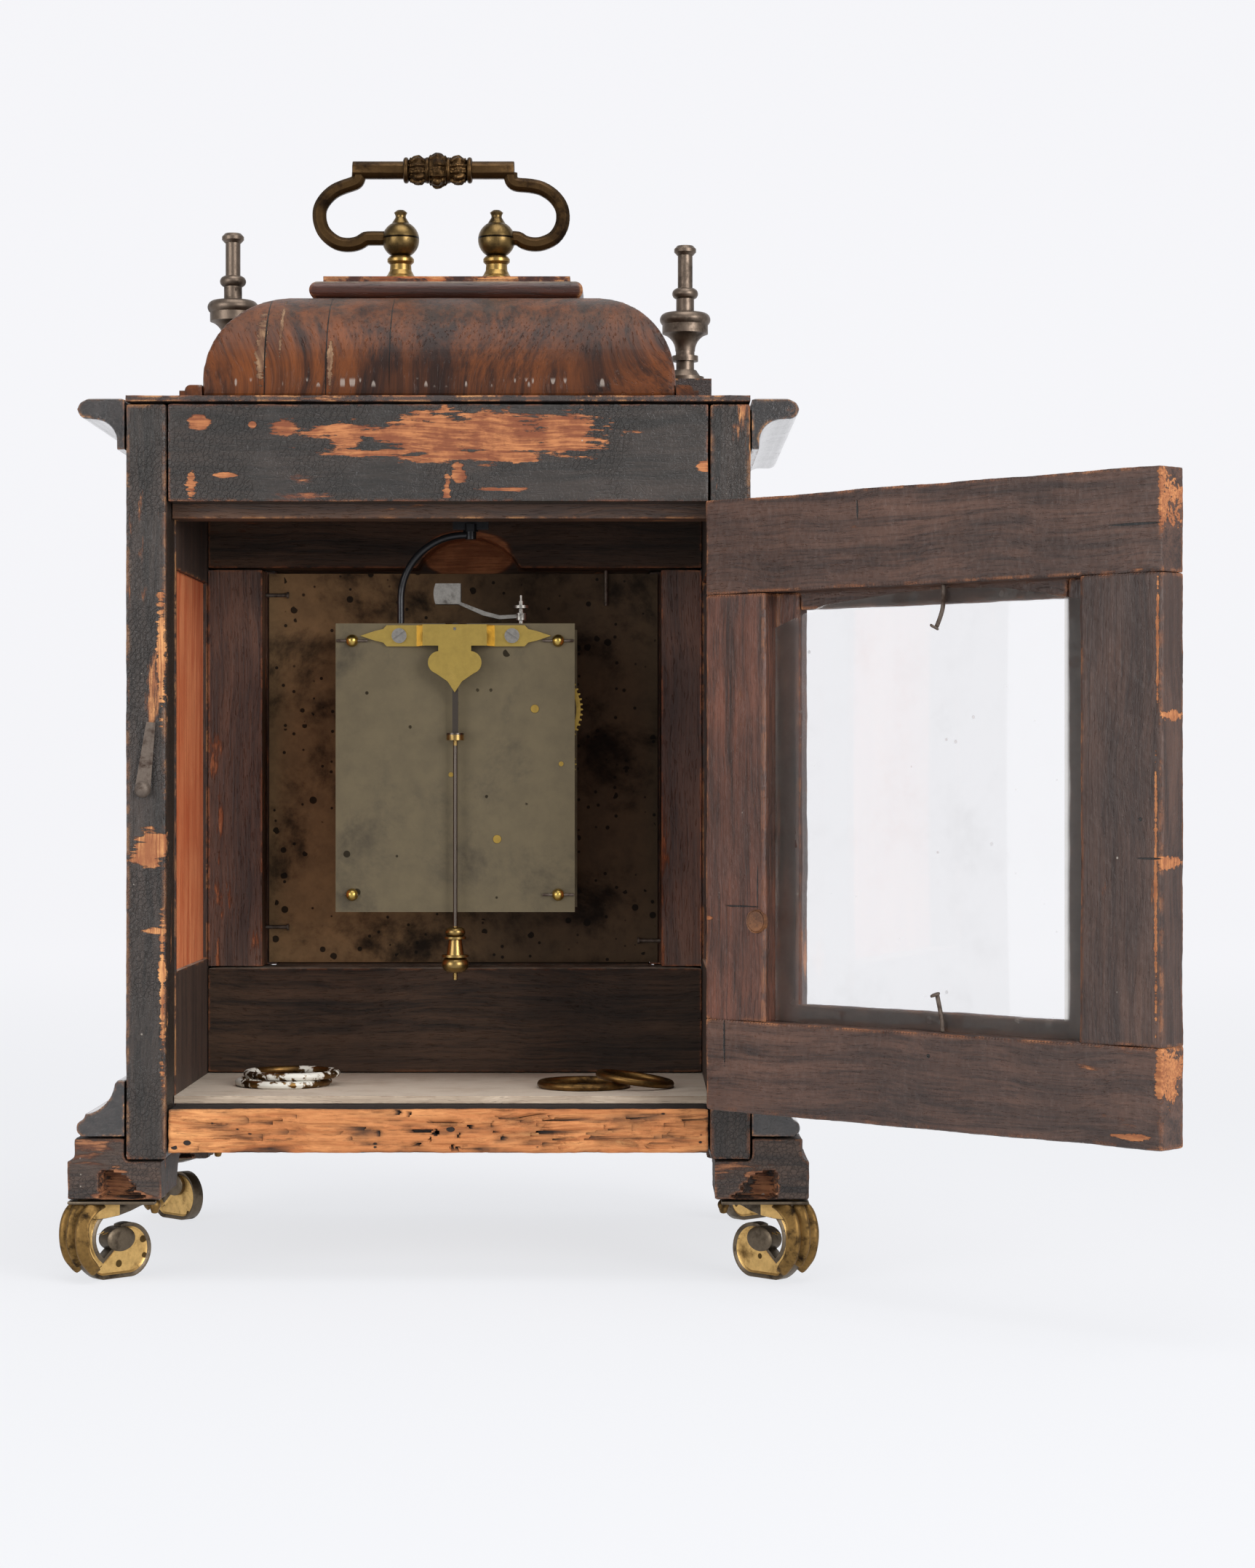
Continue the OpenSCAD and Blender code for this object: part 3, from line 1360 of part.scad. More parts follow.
// Contrate wheel: a cup whose teeth stand along the arbor towards the back
module contrate_wheel() {
    pinion_phase = facing(contrate_at, centre_at) + half_pitch(leaves);
    ring_in = contrate_r - 0.7;
    ring_out = contrate_r + 0.7;
    root = contrate_tip_y - 1.5 * contrate_m;
    tooth = 0.38 * PI * contrate_m;
    color([0.72, 0.58, 0.3]) at_arbor(contrate_at) {
        pinion(leaves, centre_m, centre_y - 1, centre_y + wheel_t + 1, pinion_phase);
        rod_y(1.3, front_in + air, back_in - air);
        rod_y(pivot_r, front_out - 0.2, plate_y + 0.2);
        along_y(root - 0.2, contrate_tip_y) for (i = [0:contrate_teeth - 1])
            rotate(i * 360 / contrate_teeth)
                polygon([[ring_in + 0.05, -tooth / 2], [ring_out - 0.05, -tooth / 2],
                         [ring_out - 0.05, tooth / 2], [ring_in + 0.05, tooth / 2]]);
        difference() {
            rod_y(ring_out, root - 2.5, root);
            rod_y(ring_in, root - 1.3, root + 1);
        }
    }
}

// Crown wheel on its upright arbor, with the pinion that the contrate wheel drives
module crown_wheel() {
    low = contrate_at[1] + contrate_r - 5.5;
    wheel_z = crown_tip_z - crown_h;
    slot = 0.7 * 2 * PI * crown_r / crown_teeth;
    color([0.72, 0.58, 0.3]) at_arbor([contrate_at[0], 0]) translate([0, crown_y, 0]) {
        translate([0, 0, contrate_at[1] + contrate_r - 2.2]) linear_extrude(4.4)
            rotate(-90 + half_pitch(leaves)) gear_outline(leaves, contrate_m, 0.3);
        translate([0, 0, low - 1.6]) cylinder(r = 0.8, h = wheel_z - low + 2);
        translate([0, 0, low + 0.8]) cylinder(r = 1.2, h = contrate_at[1] + contrate_r - low - 0.8);
        translate([0, 0, wheel_z]) difference() {
            cylinder(r = crown_r + 0.6, h = crown_h);
            translate([0, 0, 1.2]) cylinder(r = crown_r - 0.6, h = crown_h);
            for (i = [0:crown_teeth - 1])
                rotate([0, 0, i * 360 / crown_teeth]) translate([0, 0, 2.2])
                    linear_extrude(crown_h) polygon([
                        [crown_r - 2, -slot / 2], [crown_r + 2, -slot / 2], [crown_r + 2, slot / 2], [crown_r - 2, slot / 2]
                    ]);
        }
    }
}

module minute_wheel() {
    bore = 1.2 + run_gap;
    color([0.72, 0.58, 0.3]) at_arbor(minute_at) difference() {
        union() {
            toothed_wheel(60, minute_m, cannon_y + 0.5, cannon_y + 2, 4,
                facing(minute_at, centre_at) + half_pitch(60));
            pinion(10, hour_m, hour_y - 0.5, cannon_y + 0.6, half_pitch(10));
        }
        rod_y(bore, hour_y - 3, front_out);
    }
}

// Hour wheel, with a pipe that runs on the centre arbor and carries the hour hand
module hour_wheel() {
    bore = 1.6 + run_gap;
    color([0.72, 0.58, 0.3]) at_arbor(centre_at) difference() {
        union() {
            toothed_wheel(40, hour_m, hour_y, hour_y + 1.6, 4.4, 0);
            rod_y(2.9, hour_hand_y - 0.2, hour_y + 0.1);
        }
        rod_y(bore, hour_hand_y - 2, hour_y + 3);
    }
}

// Pointed hand drawn upwards, swelling before its tip
module hand_outline(length, width) {
    polygon([
        [-width / 2, 0], [-width / 3, 0.5 * length], [-width, 0.62 * length], [-width / 4, 0.76 * length], [0, length],
        [width / 4, 0.76 * length], [width, 0.62 * length], [width / 3, 0.5 * length], [width / 2, 0]
    ]);
}

module hour_hand() {
    color([0.1, 0.1, 0.13]) at_arbor(centre_at) difference() {
        union() {
            rod_y(4.6, hour_hand_y, hour_hand_y + 1);
            rotate([0, -54, 0]) along_y(hour_hand_y, hour_hand_y + 1) hand_outline(42, 3.4);
        }
        rod_y(2.9, hour_hand_y - 1, hour_hand_y + 2);
    }
}

module minute_hand() {
    color([0.1, 0.1, 0.13]) at_arbor(centre_at) difference() {
        union() {
            rod_y(3.8, minute_hand_y, minute_hand_y + 1);
            rotate([0, 48, 0]) along_y(minute_hand_y, minute_hand_y + 1) hand_outline(62, 2.6);
        }
        rod_y(1.6, minute_hand_y - 1, minute_hand_y + 2);
    }
}

module alarm_great_wheel() {
    color([0.72, 0.58, 0.3]) at_arbor(alarm_at) {
        toothed_wheel(alarm_teeth, alarm_m, alarm_y, alarm_y + wheel_t, alarm_barrel_r - 2, facing(alarm_at, pinwheel_at));
        rod_y(alarm_barrel_r, front_in + 12, alarm_y + 0.1);
        rod_y(2.6, front_in + air, back_in - air);
        rod_y(barrel_pivot_r, front_out - 14, plate_y + 0.4);
        along_y(dial_y - 4, front_out - 13) square([2.2, 2.2], center = true);
    }
}

module alarm_pin_wheel() {
    phase = facing(pinwheel_at, alarm_at) + half_pitch(alarm_leaves);
    color([0.72, 0.58, 0.3]) at_arbor(pinwheel_at) {
        pinion(alarm_leaves, alarm_m, alarm_y - 1, alarm_y + wheel_t + 1, phase);
        rod_y(1.3, front_in + air, back_in - air);
        rod_y(pivot_r, front_out - 0.2, plate_y + 0.3);
        rod_y(5, alarm_y - 9, alarm_y - 7.5);
        for (i = [0:5])
            rotate([0, i * 60, 0]) translate([3.8, 0, 0]) rod_y(0.5, alarm_y - 11.5, alarm_y - 8);
    }
}

// Verge and pendulum

module verge() {
    y1 = plate_y + cock_rise;
    color([0.4, 0.4, 0.42]) at_arbor([contrate_at[0], verge_z]) {
        rod_y(verge_r, front_out - 0.1, y1 - 0.4);
        rod_y(0.6, y1 - 0.5, y1 + cock_t - 0.2);
        for (side = [-1, 1])
            translate([0, crown_y + side * crown_r, 0]) rotate([0, 180 + side * 45, 0])
                block([-0.5, -2, 0], [0.5, 2, 4.4]);
    }
}

module pendulum() {
    y = plate_y + pendulum_out;
    collar_z = -43.2;
    color([0.55, 0.45, 0.25]) at_arbor([contrate_at[0], verge_z]) translate([0, y, 0]) difference() {
        union() {
            rod_y(2.6, -1, 1);
            block([-1.2, -0.5, collar_z], [1.2, 0.5, 0]);
            translate([0, 0, collar_z - 3]) cylinder(r = 3.7, h = 3);
            translate([0, 0, -bob_drop - bob_l - 3]) cylinder(r = rod_r, h = bob_drop + bob_l + 3 + collar_z);
            translate([0, 0, -bob_drop]) bob_turning();
        }
        rod_y(verge_r, -3, 3);
    }
}

// Turned bob hanging down from its top: collar, tapered waist, flange and round belly
module bob_turning() {
    translate([0, 0, -4]) rotate_extrude() {
        translate([2.2, 2]) circle(r = 2);
        square([2.2, 4]);
    }
    translate([0, 0, -4.8]) cylinder(r = 4.5, h = 0.9);
    translate([0, 0, -bob_l + 6.6]) cylinder(r1 = 3.8, r2 = 2.6, h = bob_l - 11.2);
    translate([0, 0, -bob_l + 6.4]) cylinder(r = bob_r, h = 1);
    translate([0, 0, -bob_l]) rotate_extrude() intersection() {
        union() {
            translate([bob_r - 3.4, 3.4]) circle(r = 3.4);
            square([bob_r - 3.4, 6.8]);
        }
        square([bob_r + 1, 8]);
    }
}

// Alarm hammer on its upright arbor
module hammer() {
    top = plate_h / 2;
    head = [hammer_l, 13];
    color([0.45, 0.42, 0.4]) at_arbor([hammer_x, 0]) translate([0, hammer_y, top]) {
        translate([0, 0, -12]) cylinder(r = 1.2, h = 22);
        translate([0, 0, -1.5 + air]) cylinder(r = 2.2, h = 1.4);
        translate([0, 0, 2]) cylinder(r = 2.4, h = 3);
        translate([0, 0, 7]) cylinder(r = 3.4, h = 1.2);
        translate([0, 0, 9.5]) cylinder(r = 0.6, h = 3);
        translate([0, 0, 3]) along_y(-1.6, 1.6) polygon([
            [0, 0], [9, -0.6], [16, 1], [head[0] - 3, 6.4], [head[0] - 3, 7.6], [15, 2.6], [9, 1], [0, 1.4]
        ]);
        translate([head[0], 0, head[1]]) hammer_head();
    }
}

// Head with a flat striking side and a rounded back
module hammer_head() {
    h = hammer_head_h / 2;
    along_y(-3.5, 3.5) intersection() {
        square([hammer_head_l, 2 * h], center = true);
        translate([-hammer_head_l / 2, 0]) circle(r = hammer_head_l);
    }
}

rear_stiles();
rear_top_rail();
rear_bottom_rail();
door_stop_rail();
side_frame_left();
side_frame_right();
side_panels();
front_rails();
top_board();
floor_board();
cornice();
base_moulding();
plinth_front();
plinth_sides();
feet();
dome();
dome_strips();
platform();
finial_blocks();
finials();
handle_posts();
mask_stiles();
mask_rails();
dial_plate();
chapter_ring();
case_nails();
front_plate();
back_plate();
movement_pillars();
pillar_pins();
back_cock();
cock_screws();
arbor_brackets();
bell_stand();
loose_rings();
case_hinges();
door_rails();
door_hinge_stile();
door_lock_stile();
door_glass();
door_nails();
door_hinge_leaves();
front_door_frame();
front_door_glass();
front_door_hinge_leaves();
handle();
latch();
verge();
pendulum();
great_wheel();
centre_wheel();
contrate_wheel();
crown_wheel();
minute_hand();
minute_wheel();
hour_wheel();
hour_hand();
alarm_great_wheel();
alarm_pin_wheel();
hammer();
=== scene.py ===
"""Looks of an old table clock, seen from behind with its glazed back door open.

Every length is in metres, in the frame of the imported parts: +X to the left of someone who looks at the back,
+Y out of the back, +Z up.
"""

import math
import random

import bpy
from mathutils import Matrix, Vector


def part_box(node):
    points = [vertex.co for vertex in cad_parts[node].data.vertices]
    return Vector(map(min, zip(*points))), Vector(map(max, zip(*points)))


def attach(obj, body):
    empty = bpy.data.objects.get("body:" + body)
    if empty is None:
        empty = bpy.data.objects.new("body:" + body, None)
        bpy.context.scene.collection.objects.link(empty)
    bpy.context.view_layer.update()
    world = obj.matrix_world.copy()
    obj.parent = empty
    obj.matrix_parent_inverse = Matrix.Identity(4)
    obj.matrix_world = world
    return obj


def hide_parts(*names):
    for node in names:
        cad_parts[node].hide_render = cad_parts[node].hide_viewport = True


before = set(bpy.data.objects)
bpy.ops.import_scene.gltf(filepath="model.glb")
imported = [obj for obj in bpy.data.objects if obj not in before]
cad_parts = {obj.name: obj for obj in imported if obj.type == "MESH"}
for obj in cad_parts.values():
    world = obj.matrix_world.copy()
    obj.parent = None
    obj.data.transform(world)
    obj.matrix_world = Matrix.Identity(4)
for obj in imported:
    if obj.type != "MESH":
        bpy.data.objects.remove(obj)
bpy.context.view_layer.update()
MM = 0.001

# Sizes shared by several pieces

# Back face of the case and inner face of its sides
BACK_Y = 0.095
INNER_X = 0.108
DOOR_ANGLE = math.radians(136.8)
DOOR_PIN = Vector((-0.1125, 0.0962, 0.0))


def srgb(text, by=1.0):
    """A colour written as six hex digits, as light values, at need darkened."""
    parts = [int(text[i : i + 2], 16) / 255 for i in (0, 2, 4)]
    light = [c / 12.92 if c <= 0.04045 else ((c + 0.055) / 1.055) ** 2.4 for c in parts]
    return tuple(by * c for c in light) + (1.0,)


# Camera, light and floor


def set_camera():
    """The photo's viewpoint: level, straight at the back, from 1.3 m behind it."""
    data = bpy.data.cameras.new("camera")
    data.lens = 74.79
    data.sensor_width = 36
    data.shift_x = -0.0035
    data.clip_end = 50
    cam = bpy.data.objects.new("camera", data)
    bpy.context.collection.objects.link(cam)
    cam.location = (-0.0777, 1.394, 0.1996)
    cam.rotation_euler = (math.radians(90), 0, math.radians(180))
    bpy.context.scene.camera = cam


def set_light():
    scene = bpy.context.scene
    scene.view_settings.view_transform = "Standard"
    world = bpy.data.worlds.new("studio")
    world.use_nodes = True
    sky = world.node_tree.nodes["Background"].inputs
    sky["Color"].default_value = srgb("eef0f4")
    sky["Strength"].default_value = 0.62
    scene.world = world
    aim = Vector((0.0, 0.0, 0.2))
    for name, spot, side, watts in (
        ("softbox_left", (1.5, 1.7, 0.6), 1.1, 20),
        ("softbox_right", (-1.45, 1.8, 0.75), 1.0, 38),
        ("softbox_top", (-0.2, 0.5, 1.9), 1.3, 20),
    ):
        data = bpy.data.lights.new(name, "AREA")
        data.size = side
        data.energy = watts
        lamp = bpy.data.objects.new(name, data)
        bpy.context.collection.objects.link(lamp)
        lamp.location = spot
        lamp.rotation_euler = (aim - Vector(spot)).to_track_quat("-Z", "Y").to_euler()


def make_sweep():
    """Pale floor that curves up into the backdrop."""
    floor = newly(bpy.ops.mesh.primitive_plane_add, size=12)
    place(floor, (0, 2, 0))
    floor.name = "studio_floor"
    floor.data.name = "studio_floor"
    edit(floor, "EDGE")
    pick(floor, lambda c, d: c.y < -3.9, "EDGE")
    step = 0.17
    for degrees in range(10, 91, 10):
        angle = math.radians(degrees)
        pull_out((0, -step * math.cos(angle), step * math.sin(angle)))
    pull_out((0, 0, 5))
    face_outwards()
    choose(floor)
    bpy.ops.object.shade_smooth()
    skin = Skin("studio_white")
    far = skin.nodes.part(skin.nodes.spot(), "Y").band(-0.3, -2.5)
    skin.dress({
        "Base Color": "6c6c6d",
        "Roughness": 1.0,
        "Specular IOR Level": 0.0,
        "Emission Color": skin.nodes.mixed(far, "dadbde", "e7e7ea"),
        "Emission Strength": 1.0,
    })
    floor.data.materials.append(skin.mat)


# Shader nodes


def operator(kind, turned=False):
    """A method that makes one kind of Math node; turned swaps its two numbers."""

    def method(self, other=0.0):
        a, b = (other, self) if turned else (self, other)
        return self.nodes.node("Math", {0: a, 1: b}, operation=kind)[0]

    return method


class Value:
    """What a node gives; sums of it make Math nodes."""

    def __init__(self, nodes, socket):
        self.nodes = nodes
        self.socket = socket

    __add__ = operator("ADD")
    __radd__ = operator("ADD", turned=True)
    __sub__ = operator("SUBTRACT")
    __rsub__ = operator("SUBTRACT", turned=True)
    __mul__ = operator("MULTIPLY")
    __gt__ = operator("GREATER_THAN")
    __lt__ = operator("LESS_THAN")
    __abs__ = operator("ABSOLUTE")
    or_more = operator("MAXIMUM")

    def band(self, low, high):
        """0 below low, 1 above high, smooth between; low over high turns it round."""
        feeds = {"Value": self, "From Min": low, "From Max": high}
        return self.nodes.node("MapRange", feeds, interpolation_type="SMOOTHSTEP")["Result"]


class Outputs:
    """A node's outputs, by name or number."""

    def __init__(self, nodes, sockets):
        self.nodes = nodes
        self.sockets = sockets

    def __getitem__(self, key):
        return Value(self.nodes, self.sockets[key])


class Nodes:
    """A node tree, with a short call for each kind of node."""

    def __init__(self, tree):
        self.tree = tree

    def feed(self, socket, value):
        """Links an output to this input, or sets its value; text is a colour."""
        if isinstance(value, Value):
            self.tree.links.new(value.socket, socket)
        else:
            socket.default_value = srgb(value) if isinstance(value, str) else value

    def node(self, kind, feeds=None, **settings):
        made = self.tree.nodes.new("ShaderNode" + kind)
        for key, value in settings.items():
            setattr(made, key, value)
        for key, value in (feeds or {}).items():
            self.feed(made.inputs[key], value)
        return Outputs(self, made.outputs)

    def use(self, group, spot, **feeds):
        """A shared effect at the given coordinates; its other inputs are given by name."""
        return self.node("Group", {"Coordinates": spot, **feeds}, node_tree=bpy.data.node_groups[group])

    def mask(self, group, spot, **feeds):
        return self.use(group, spot, **feeds)["Mask"]

    def rubbed(self, spot, centre, reach, ragged):
        """Mask of one rubbed place."""
        return self.mask("worn_spot", spot, Centre=centre, Reach=reach, Ragged=ragged)

    def mixed(self, share, under, over):
        """Colour between two colours."""
        return self.node("Mix", {0: share, 6: under, 7: over}, data_type="RGBA")[2]

    def blended(self, share, under, over):
        """Number between two numbers."""
        return self.node("Mix", {0: share, 2: under, 3: over}, data_type="FLOAT")[0]

    def vectors(self, kind, a, b):
        return self.node("VectorMath", {0: a, 1: b}, operation=kind)[0]

    def stretched(self, spot, *by):
        return self.vectors("MULTIPLY", spot, by)

    def cloud(self, spot, scale, detail=4.0, rough=0.55, twist=0.0):
        feeds = {"Vector": spot, "Scale": scale, "Detail": detail, "Roughness": rough, "Distortion": twist}
        return self.node("TexNoise", feeds)["Fac"]

    def spot(self, turn=0.0, along="X"):
        """Object coordinates, turned about Z, then so that X runs along the grain."""
        spot = self.node("TexCoord")["Object"]
        lay = {"Z": (0, math.radians(90), 0), "Y": (0, 0, math.radians(90))}.get(along)
        for angles in ((0, 0, turn) if turn else None, lay):
            if angles:
                spot = self.node("Mapping", {"Vector": spot, "Rotation": angles})[0]
        return spot

    def part(self, vector, axis):
        return self.node("SeparateXYZ", {0: vector})[axis]

    def bump(self, height, strength, distance):
        return self.node("Bump", {"Strength": strength, "Distance": distance, "Height": height})["Normal"]


class Skin:
    """A material's shader, with its nodes."""

    def __init__(self, name):
        self.mat = bpy.data.materials.new(name)
        self.mat.use_nodes = True
        self.inputs = self.mat.node_tree.nodes["Principled BSDF"].inputs
        self.nodes = Nodes(self.mat.node_tree)

    def dress(self, feeds):
        for key, value in feeds.items():
            self.nodes.feed(self.inputs[key], value)

    def colour(self):
        """The colour that the shader has so far."""
        return Value(self.nodes, self.inputs["Base Color"].links[0].from_socket)

    def paint(self, share, over):
        """Lays one more colour over the present one, where the share says so."""
        self.dress({"Base Color": self.nodes.mixed(share, self.colour(), over)})


# Effects shared by the finishes


def new_group(name, results, **inputs):
    """An empty node group that takes coordinates and the given inputs, and gives numbers."""
    tree = bpy.data.node_groups.new(name, "ShaderNodeTree")
    for label, default in {"Coordinates": (0, 0, 0), **inputs}.items():
        kind = "Vector" if isinstance(default, tuple) else "Float"
        socket = tree.interface.new_socket(label, in_out="INPUT", socket_type="NodeSocket" + kind)
        socket.default_value = default
    for label in results.split():
        tree.interface.new_socket(label, in_out="OUTPUT", socket_type="NodeSocketFloat")
    t = Nodes(tree)
    return t, Outputs(t, tree.nodes.new("NodeGroupInput").outputs), tree.nodes.new("NodeGroupOutput").inputs


def make_grain():
    """Streaks, fine lines and pores of wood whose grain runs along X."""
    t, ins, outs = new_group("grain", "Streaks Lines Pores", Coarseness=1.0, Sway=0.012)
    feeds = {0: ins["Coordinates"], "Scale": ins["Coarseness"]}
    spot = t.node("VectorMath", feeds, operation="SCALE")[0]
    drift = t.cloud(spot, 11.0, 2.0) * ins["Sway"]
    spot = t.vectors("ADD", spot, t.node("CombineXYZ", {0: 0.0, 1: drift, 2: drift})[0])
    t.feed(outs["Streaks"], t.cloud(t.stretched(spot, 9, 150, 150), 1.0, 6.0, 0.62, 0.5))
    t.feed(outs["Lines"], t.cloud(t.stretched(spot, 24, 1000, 1000), 1.0, 4.0, 0.65))
    t.feed(outs["Pores"], t.cloud(t.stretched(spot, 150, 2000, 2000), 1.0, 2.0, 0.5).band(0.60, 0.70))


def make_edge_wear():
    """Mask of the rubbed edges, broken up by noise."""
    t, ins, outs = new_group("edge_wear", "Mask", Width=0.002, Breaks=90.0)
    rounded = t.node("Bevel", {"Radius": ins["Width"]}, samples=4)["Normal"]
    flat = t.node("NewGeometry")["Normal"]
    facing = t.node("VectorMath", {0: rounded, 1: flat}, operation="DOT_PRODUCT")["Value"]
    gaps = t.cloud(ins["Coordinates"], ins["Breaks"], 5.0, 0.7).band(0.40, 0.58)
    t.feed(outs["Mask"], facing.band(0.995, 0.82) * gaps)


def make_patches():
    """Ragged patches that cover a share of the surface."""
    t, ins, outs = new_group("patches", "Mask", Scale=20.0, Cover=0.4, Softness=0.08)
    limit = 0.68 - ins["Cover"] * 0.36
    field = t.cloud(ins["Coordinates"], ins["Scale"], 8.0, 0.66, 0.2)
    t.feed(outs["Mask"], field.band(limit, limit + ins["Softness"]))


def make_specks():
    """Round spots, one in some of the cells."""
    t, ins, outs = new_group("specks", "Mask", Scale=100.0, Radius=0.2, Share=0.3)
    cells = t.node("TexVoronoi", {"Vector": ins["Coordinates"], "Scale": ins["Scale"]})
    chance = t.node("SeparateColor", {0: cells["Color"]})
    size = ins["Radius"] * (0.35 + chance[1])
    dot = (cells["Distance"] - size).band(0.05, -0.02)
    t.feed(outs["Mask"], dot * (chance[0] < ins["Share"]))


def make_worn_spot():
    """One rubbed place, ragged along the grain, given by its centre and half sizes."""
    t, ins, outs = new_group("worn_spot", "Mask", Centre=(0, 0, 0), Reach=(1, 1, 1), Ragged=1.2)
    whole = ins["Coordinates"]
    off = t.vectors("DIVIDE", t.vectors("SUBTRACT", whole, ins["Centre"]), ins["Reach"])
    away = t.node("VectorMath", {0: off}, operation="LENGTH")["Value"]
    broad = t.cloud(t.stretched(whole, 45, 130, 130), 1.0, 8.0, 0.72)
    thin = t.cloud(t.stretched(whole, 60, 700, 700), 1.0, 4.0, 0.6)
    shake = (broad * 0.65 + thin * 0.35 - 0.47) * (ins["Ragged"] * 2.8)
    t.feed(outs["Mask"], (away + shake).band(1.08, 0.86))


def make_crackle():
    """Skin of old black varnish: small raised scales with cracks between."""
    t, ins, outs = new_group("crackle", "Height Cracks", Scale=700.0)
    whole = ins["Coordinates"]
    jog = t.cloud(whole, 500.0, 3.0)
    sized = t.node("VectorMath", {0: whole, "Scale": ins["Scale"]}, operation="SCALE")[0]
    spot = t.vectors("ADD", sized, t.node("CombineXYZ", {0: jog, 1: jog, 2: jog * -1.4})[0])
    cells = t.node("TexVoronoi", {"Vector": spot, "Scale": 1.0}, feature="DISTANCE_TO_EDGE")["Distance"]
    crack = cells.band(0.10, 0.01) * t.cloud(whole, 35.0, 3.0).band(0.35, 0.6)
    t.feed(outs["Cracks"], crack)
    t.feed(outs["Height"], t.cloud(whole, 900.0, 3.0, 0.6) * 0.9 - crack)


def make_dust():
    """Dust that lies on whatever faces up."""
    t, ins, outs = new_group("dust", "Mask", Amount=0.5)
    up = t.part(t.node("NewGeometry")["Normal"], "Z")
    drift = t.cloud(ins["Coordinates"], 60.0, 6.0, 0.7).band(0.3, 0.7)
    t.feed(outs["Mask"], up.band(0.55, 0.95) * (ins["Amount"] * (0.35 + drift)))


def make_effects():
    make_grain()
    make_edge_wear()
    make_patches()
    make_specks()
    make_worn_spot()
    make_crackle()
    make_dust()


# Finishes

PORE_DEPTH = -0.6
WORN_DEPTH = 0.7
CRACK_DEPTH = 3.0
HOLE_DEPTH = 4.0
WORN_GLOSS = 0.8
DUSTY_GLOSS = 0.95


def wood(
    name, dark, light, bare="8a5230", raw="c98f58", along="X", turn=0.0, bare_cover=0.0, wear=0.002,
    wear_share=0.9, rough=0.5, dust=0.0, marks=(), cracks=(), holes=0.0, dents=0.4, coarse=1.0, sway=0.012,
    varnish=0.0, specks=0.0, coat=0.0, shine=0.5, deep=None,
):
    """Old wood: grain under a worn finish, with rubbed edges, bare places, cracks, dust and worm holes, and at
    need painted shade.
    """
    skin = Skin(name)
    t = skin.nodes
    whole = t.spot(turn)
    spot = t.spot(turn, along)
    grain = t.use("grain", spot, Coarseness=coarse, Sway=sway)
    lines = grain["Lines"]

    # The finish over the grain
    colour = t.mixed((grain["Streaks"] * 0.62 + lines * 0.38).band(0.36, 0.64), dark, light)
    colour = t.mixed(t.cloud(whole, 14.0, 6.0, 0.62).band(0.38, 0.66) * 0.55, colour, dark)
    colour = t.mixed(lines.band(0.60, 0.70) * 0.5, colour, srgb(dark, 0.35))

    # Where it's worn off, and the wood there
    worn = t.mask("edge_wear", whole, Width=wear) * wear_share
    if bare_cover:
        patches = t.mask("patches", t.stretched(spot, 16, 90, 90), Scale=1.0, Cover=bare_cover)
        worn = worn.or_more(patches * 0.75)
    for mark in marks:
        worn = worn.or_more(t.rubbed(whole, *mark))
    fibre = (lines * 0.5 + t.cloud(whole, 70.0, 6.0, 0.65) * 0.5).band(0.42, 0.62)
    rubbed = t.mixed(worn.band(0.0, 0.5), colour, srgb(bare, 0.42))
    colour = t.mixed((worn + lines * 0.3).band(0.5, 1.05), rubbed, t.mixed(fibre, bare, raw))
    height = lines * 0.5 + grain["Pores"] * PORE_DEPTH - worn * WORN_DEPTH
    gloss = t.blended(worn, rough, WORN_GLOSS)

    # Varnish, dents, cracks and holes, and painted shade: by depth, and in hollows listed as cracks
    if varnish:
        paint = t.use("crackle", whole, Scale=520.0)
        covered = varnish - worn * varnish
        height += paint["Height"] * covered
        colour = t.mixed(paint["Cracks"] * (covered * 0.5), colour, "15100d")
    if dents:
        height += t.cloud(whole, 140.0, 4.0, 0.6) * dents
    for crack in cracks:
        # A crack mark paints a dark crack; the plinth's list paints shade at the bottom of its hollows in the
        # same way
        split = t.rubbed(whole, *crack)
        colour = t.mixed(split, colour, "0a0705")
        height -= split * CRACK_DEPTH
    if holes:
        cells = t.stretched(spot, 200, 300, 300)
        bored = t.mask("specks", cells, Scale=1.0, Radius=0.24, Share=holes)
        colour = t.mixed(bored, colour, "1c0f08")
        height -= bored * HOLE_DEPTH
    # Painted shade: darker where the surface lies deeper behind the back face, in holes, runs and further in
    if deep:
        colour = t.mixed(t.part(whole, "Y").band(*deep), colour, "160b06")

    # What lies on it
    if specks:
        dabs = t.mask("specks", whole, Scale=330.0, Radius=0.17, Share=specks)
        where = t.cloud(whole, 24.0, 3.0).band(0.45, 0.6)
        colour = t.mixed(dabs * (where * 0.7), colour, "a59c90")
    if dust:
        lies = t.mask("dust", whole, Amount=dust)
        colour = t.mixed(lies, colour, "c6b8a7")
        gloss = t.blended(lies, gloss, DUSTY_GLOSS)
    skin.dress({"Base Color": colour, "Roughness": gloss, "Specular IOR Level": shine})
    if coat:
        skin.dress({"Coat Weight": coat - worn * coat, "Coat Roughness": 0.12})
    skin.dress({"Normal": t.bump(height, 0.7, 0.0005)})
    return skin


def dome_veneer():
    """Red-brown walnut with pale filled joints and a row of small scratches along its lower edge."""
    skin = wood(
        "walnut_veneer", "200f08", "6c3917", bare="54392a", raw="86694f", along="Z", rough=0.42, coarse=0.4,
        sway=0.09, wear_share=0.3, dents=0.1, dust=0.05, shine=0.22, marks=DOME_FILLED, cracks=DOME_SEAMS,
    )
    t = skin.nodes
    low = abs(t.part(t.spot(), "Z") - SCRATCHES_Z).band(0.0022, 0.0006)
    cells = t.stretched(t.spot(), 330, 1, 90)
    strokes = t.mask("specks", cells, Scale=1.0, Radius=0.3, Share=1.0)
    skin.paint(low * strokes * 0.6, "9a8f86")
    return skin


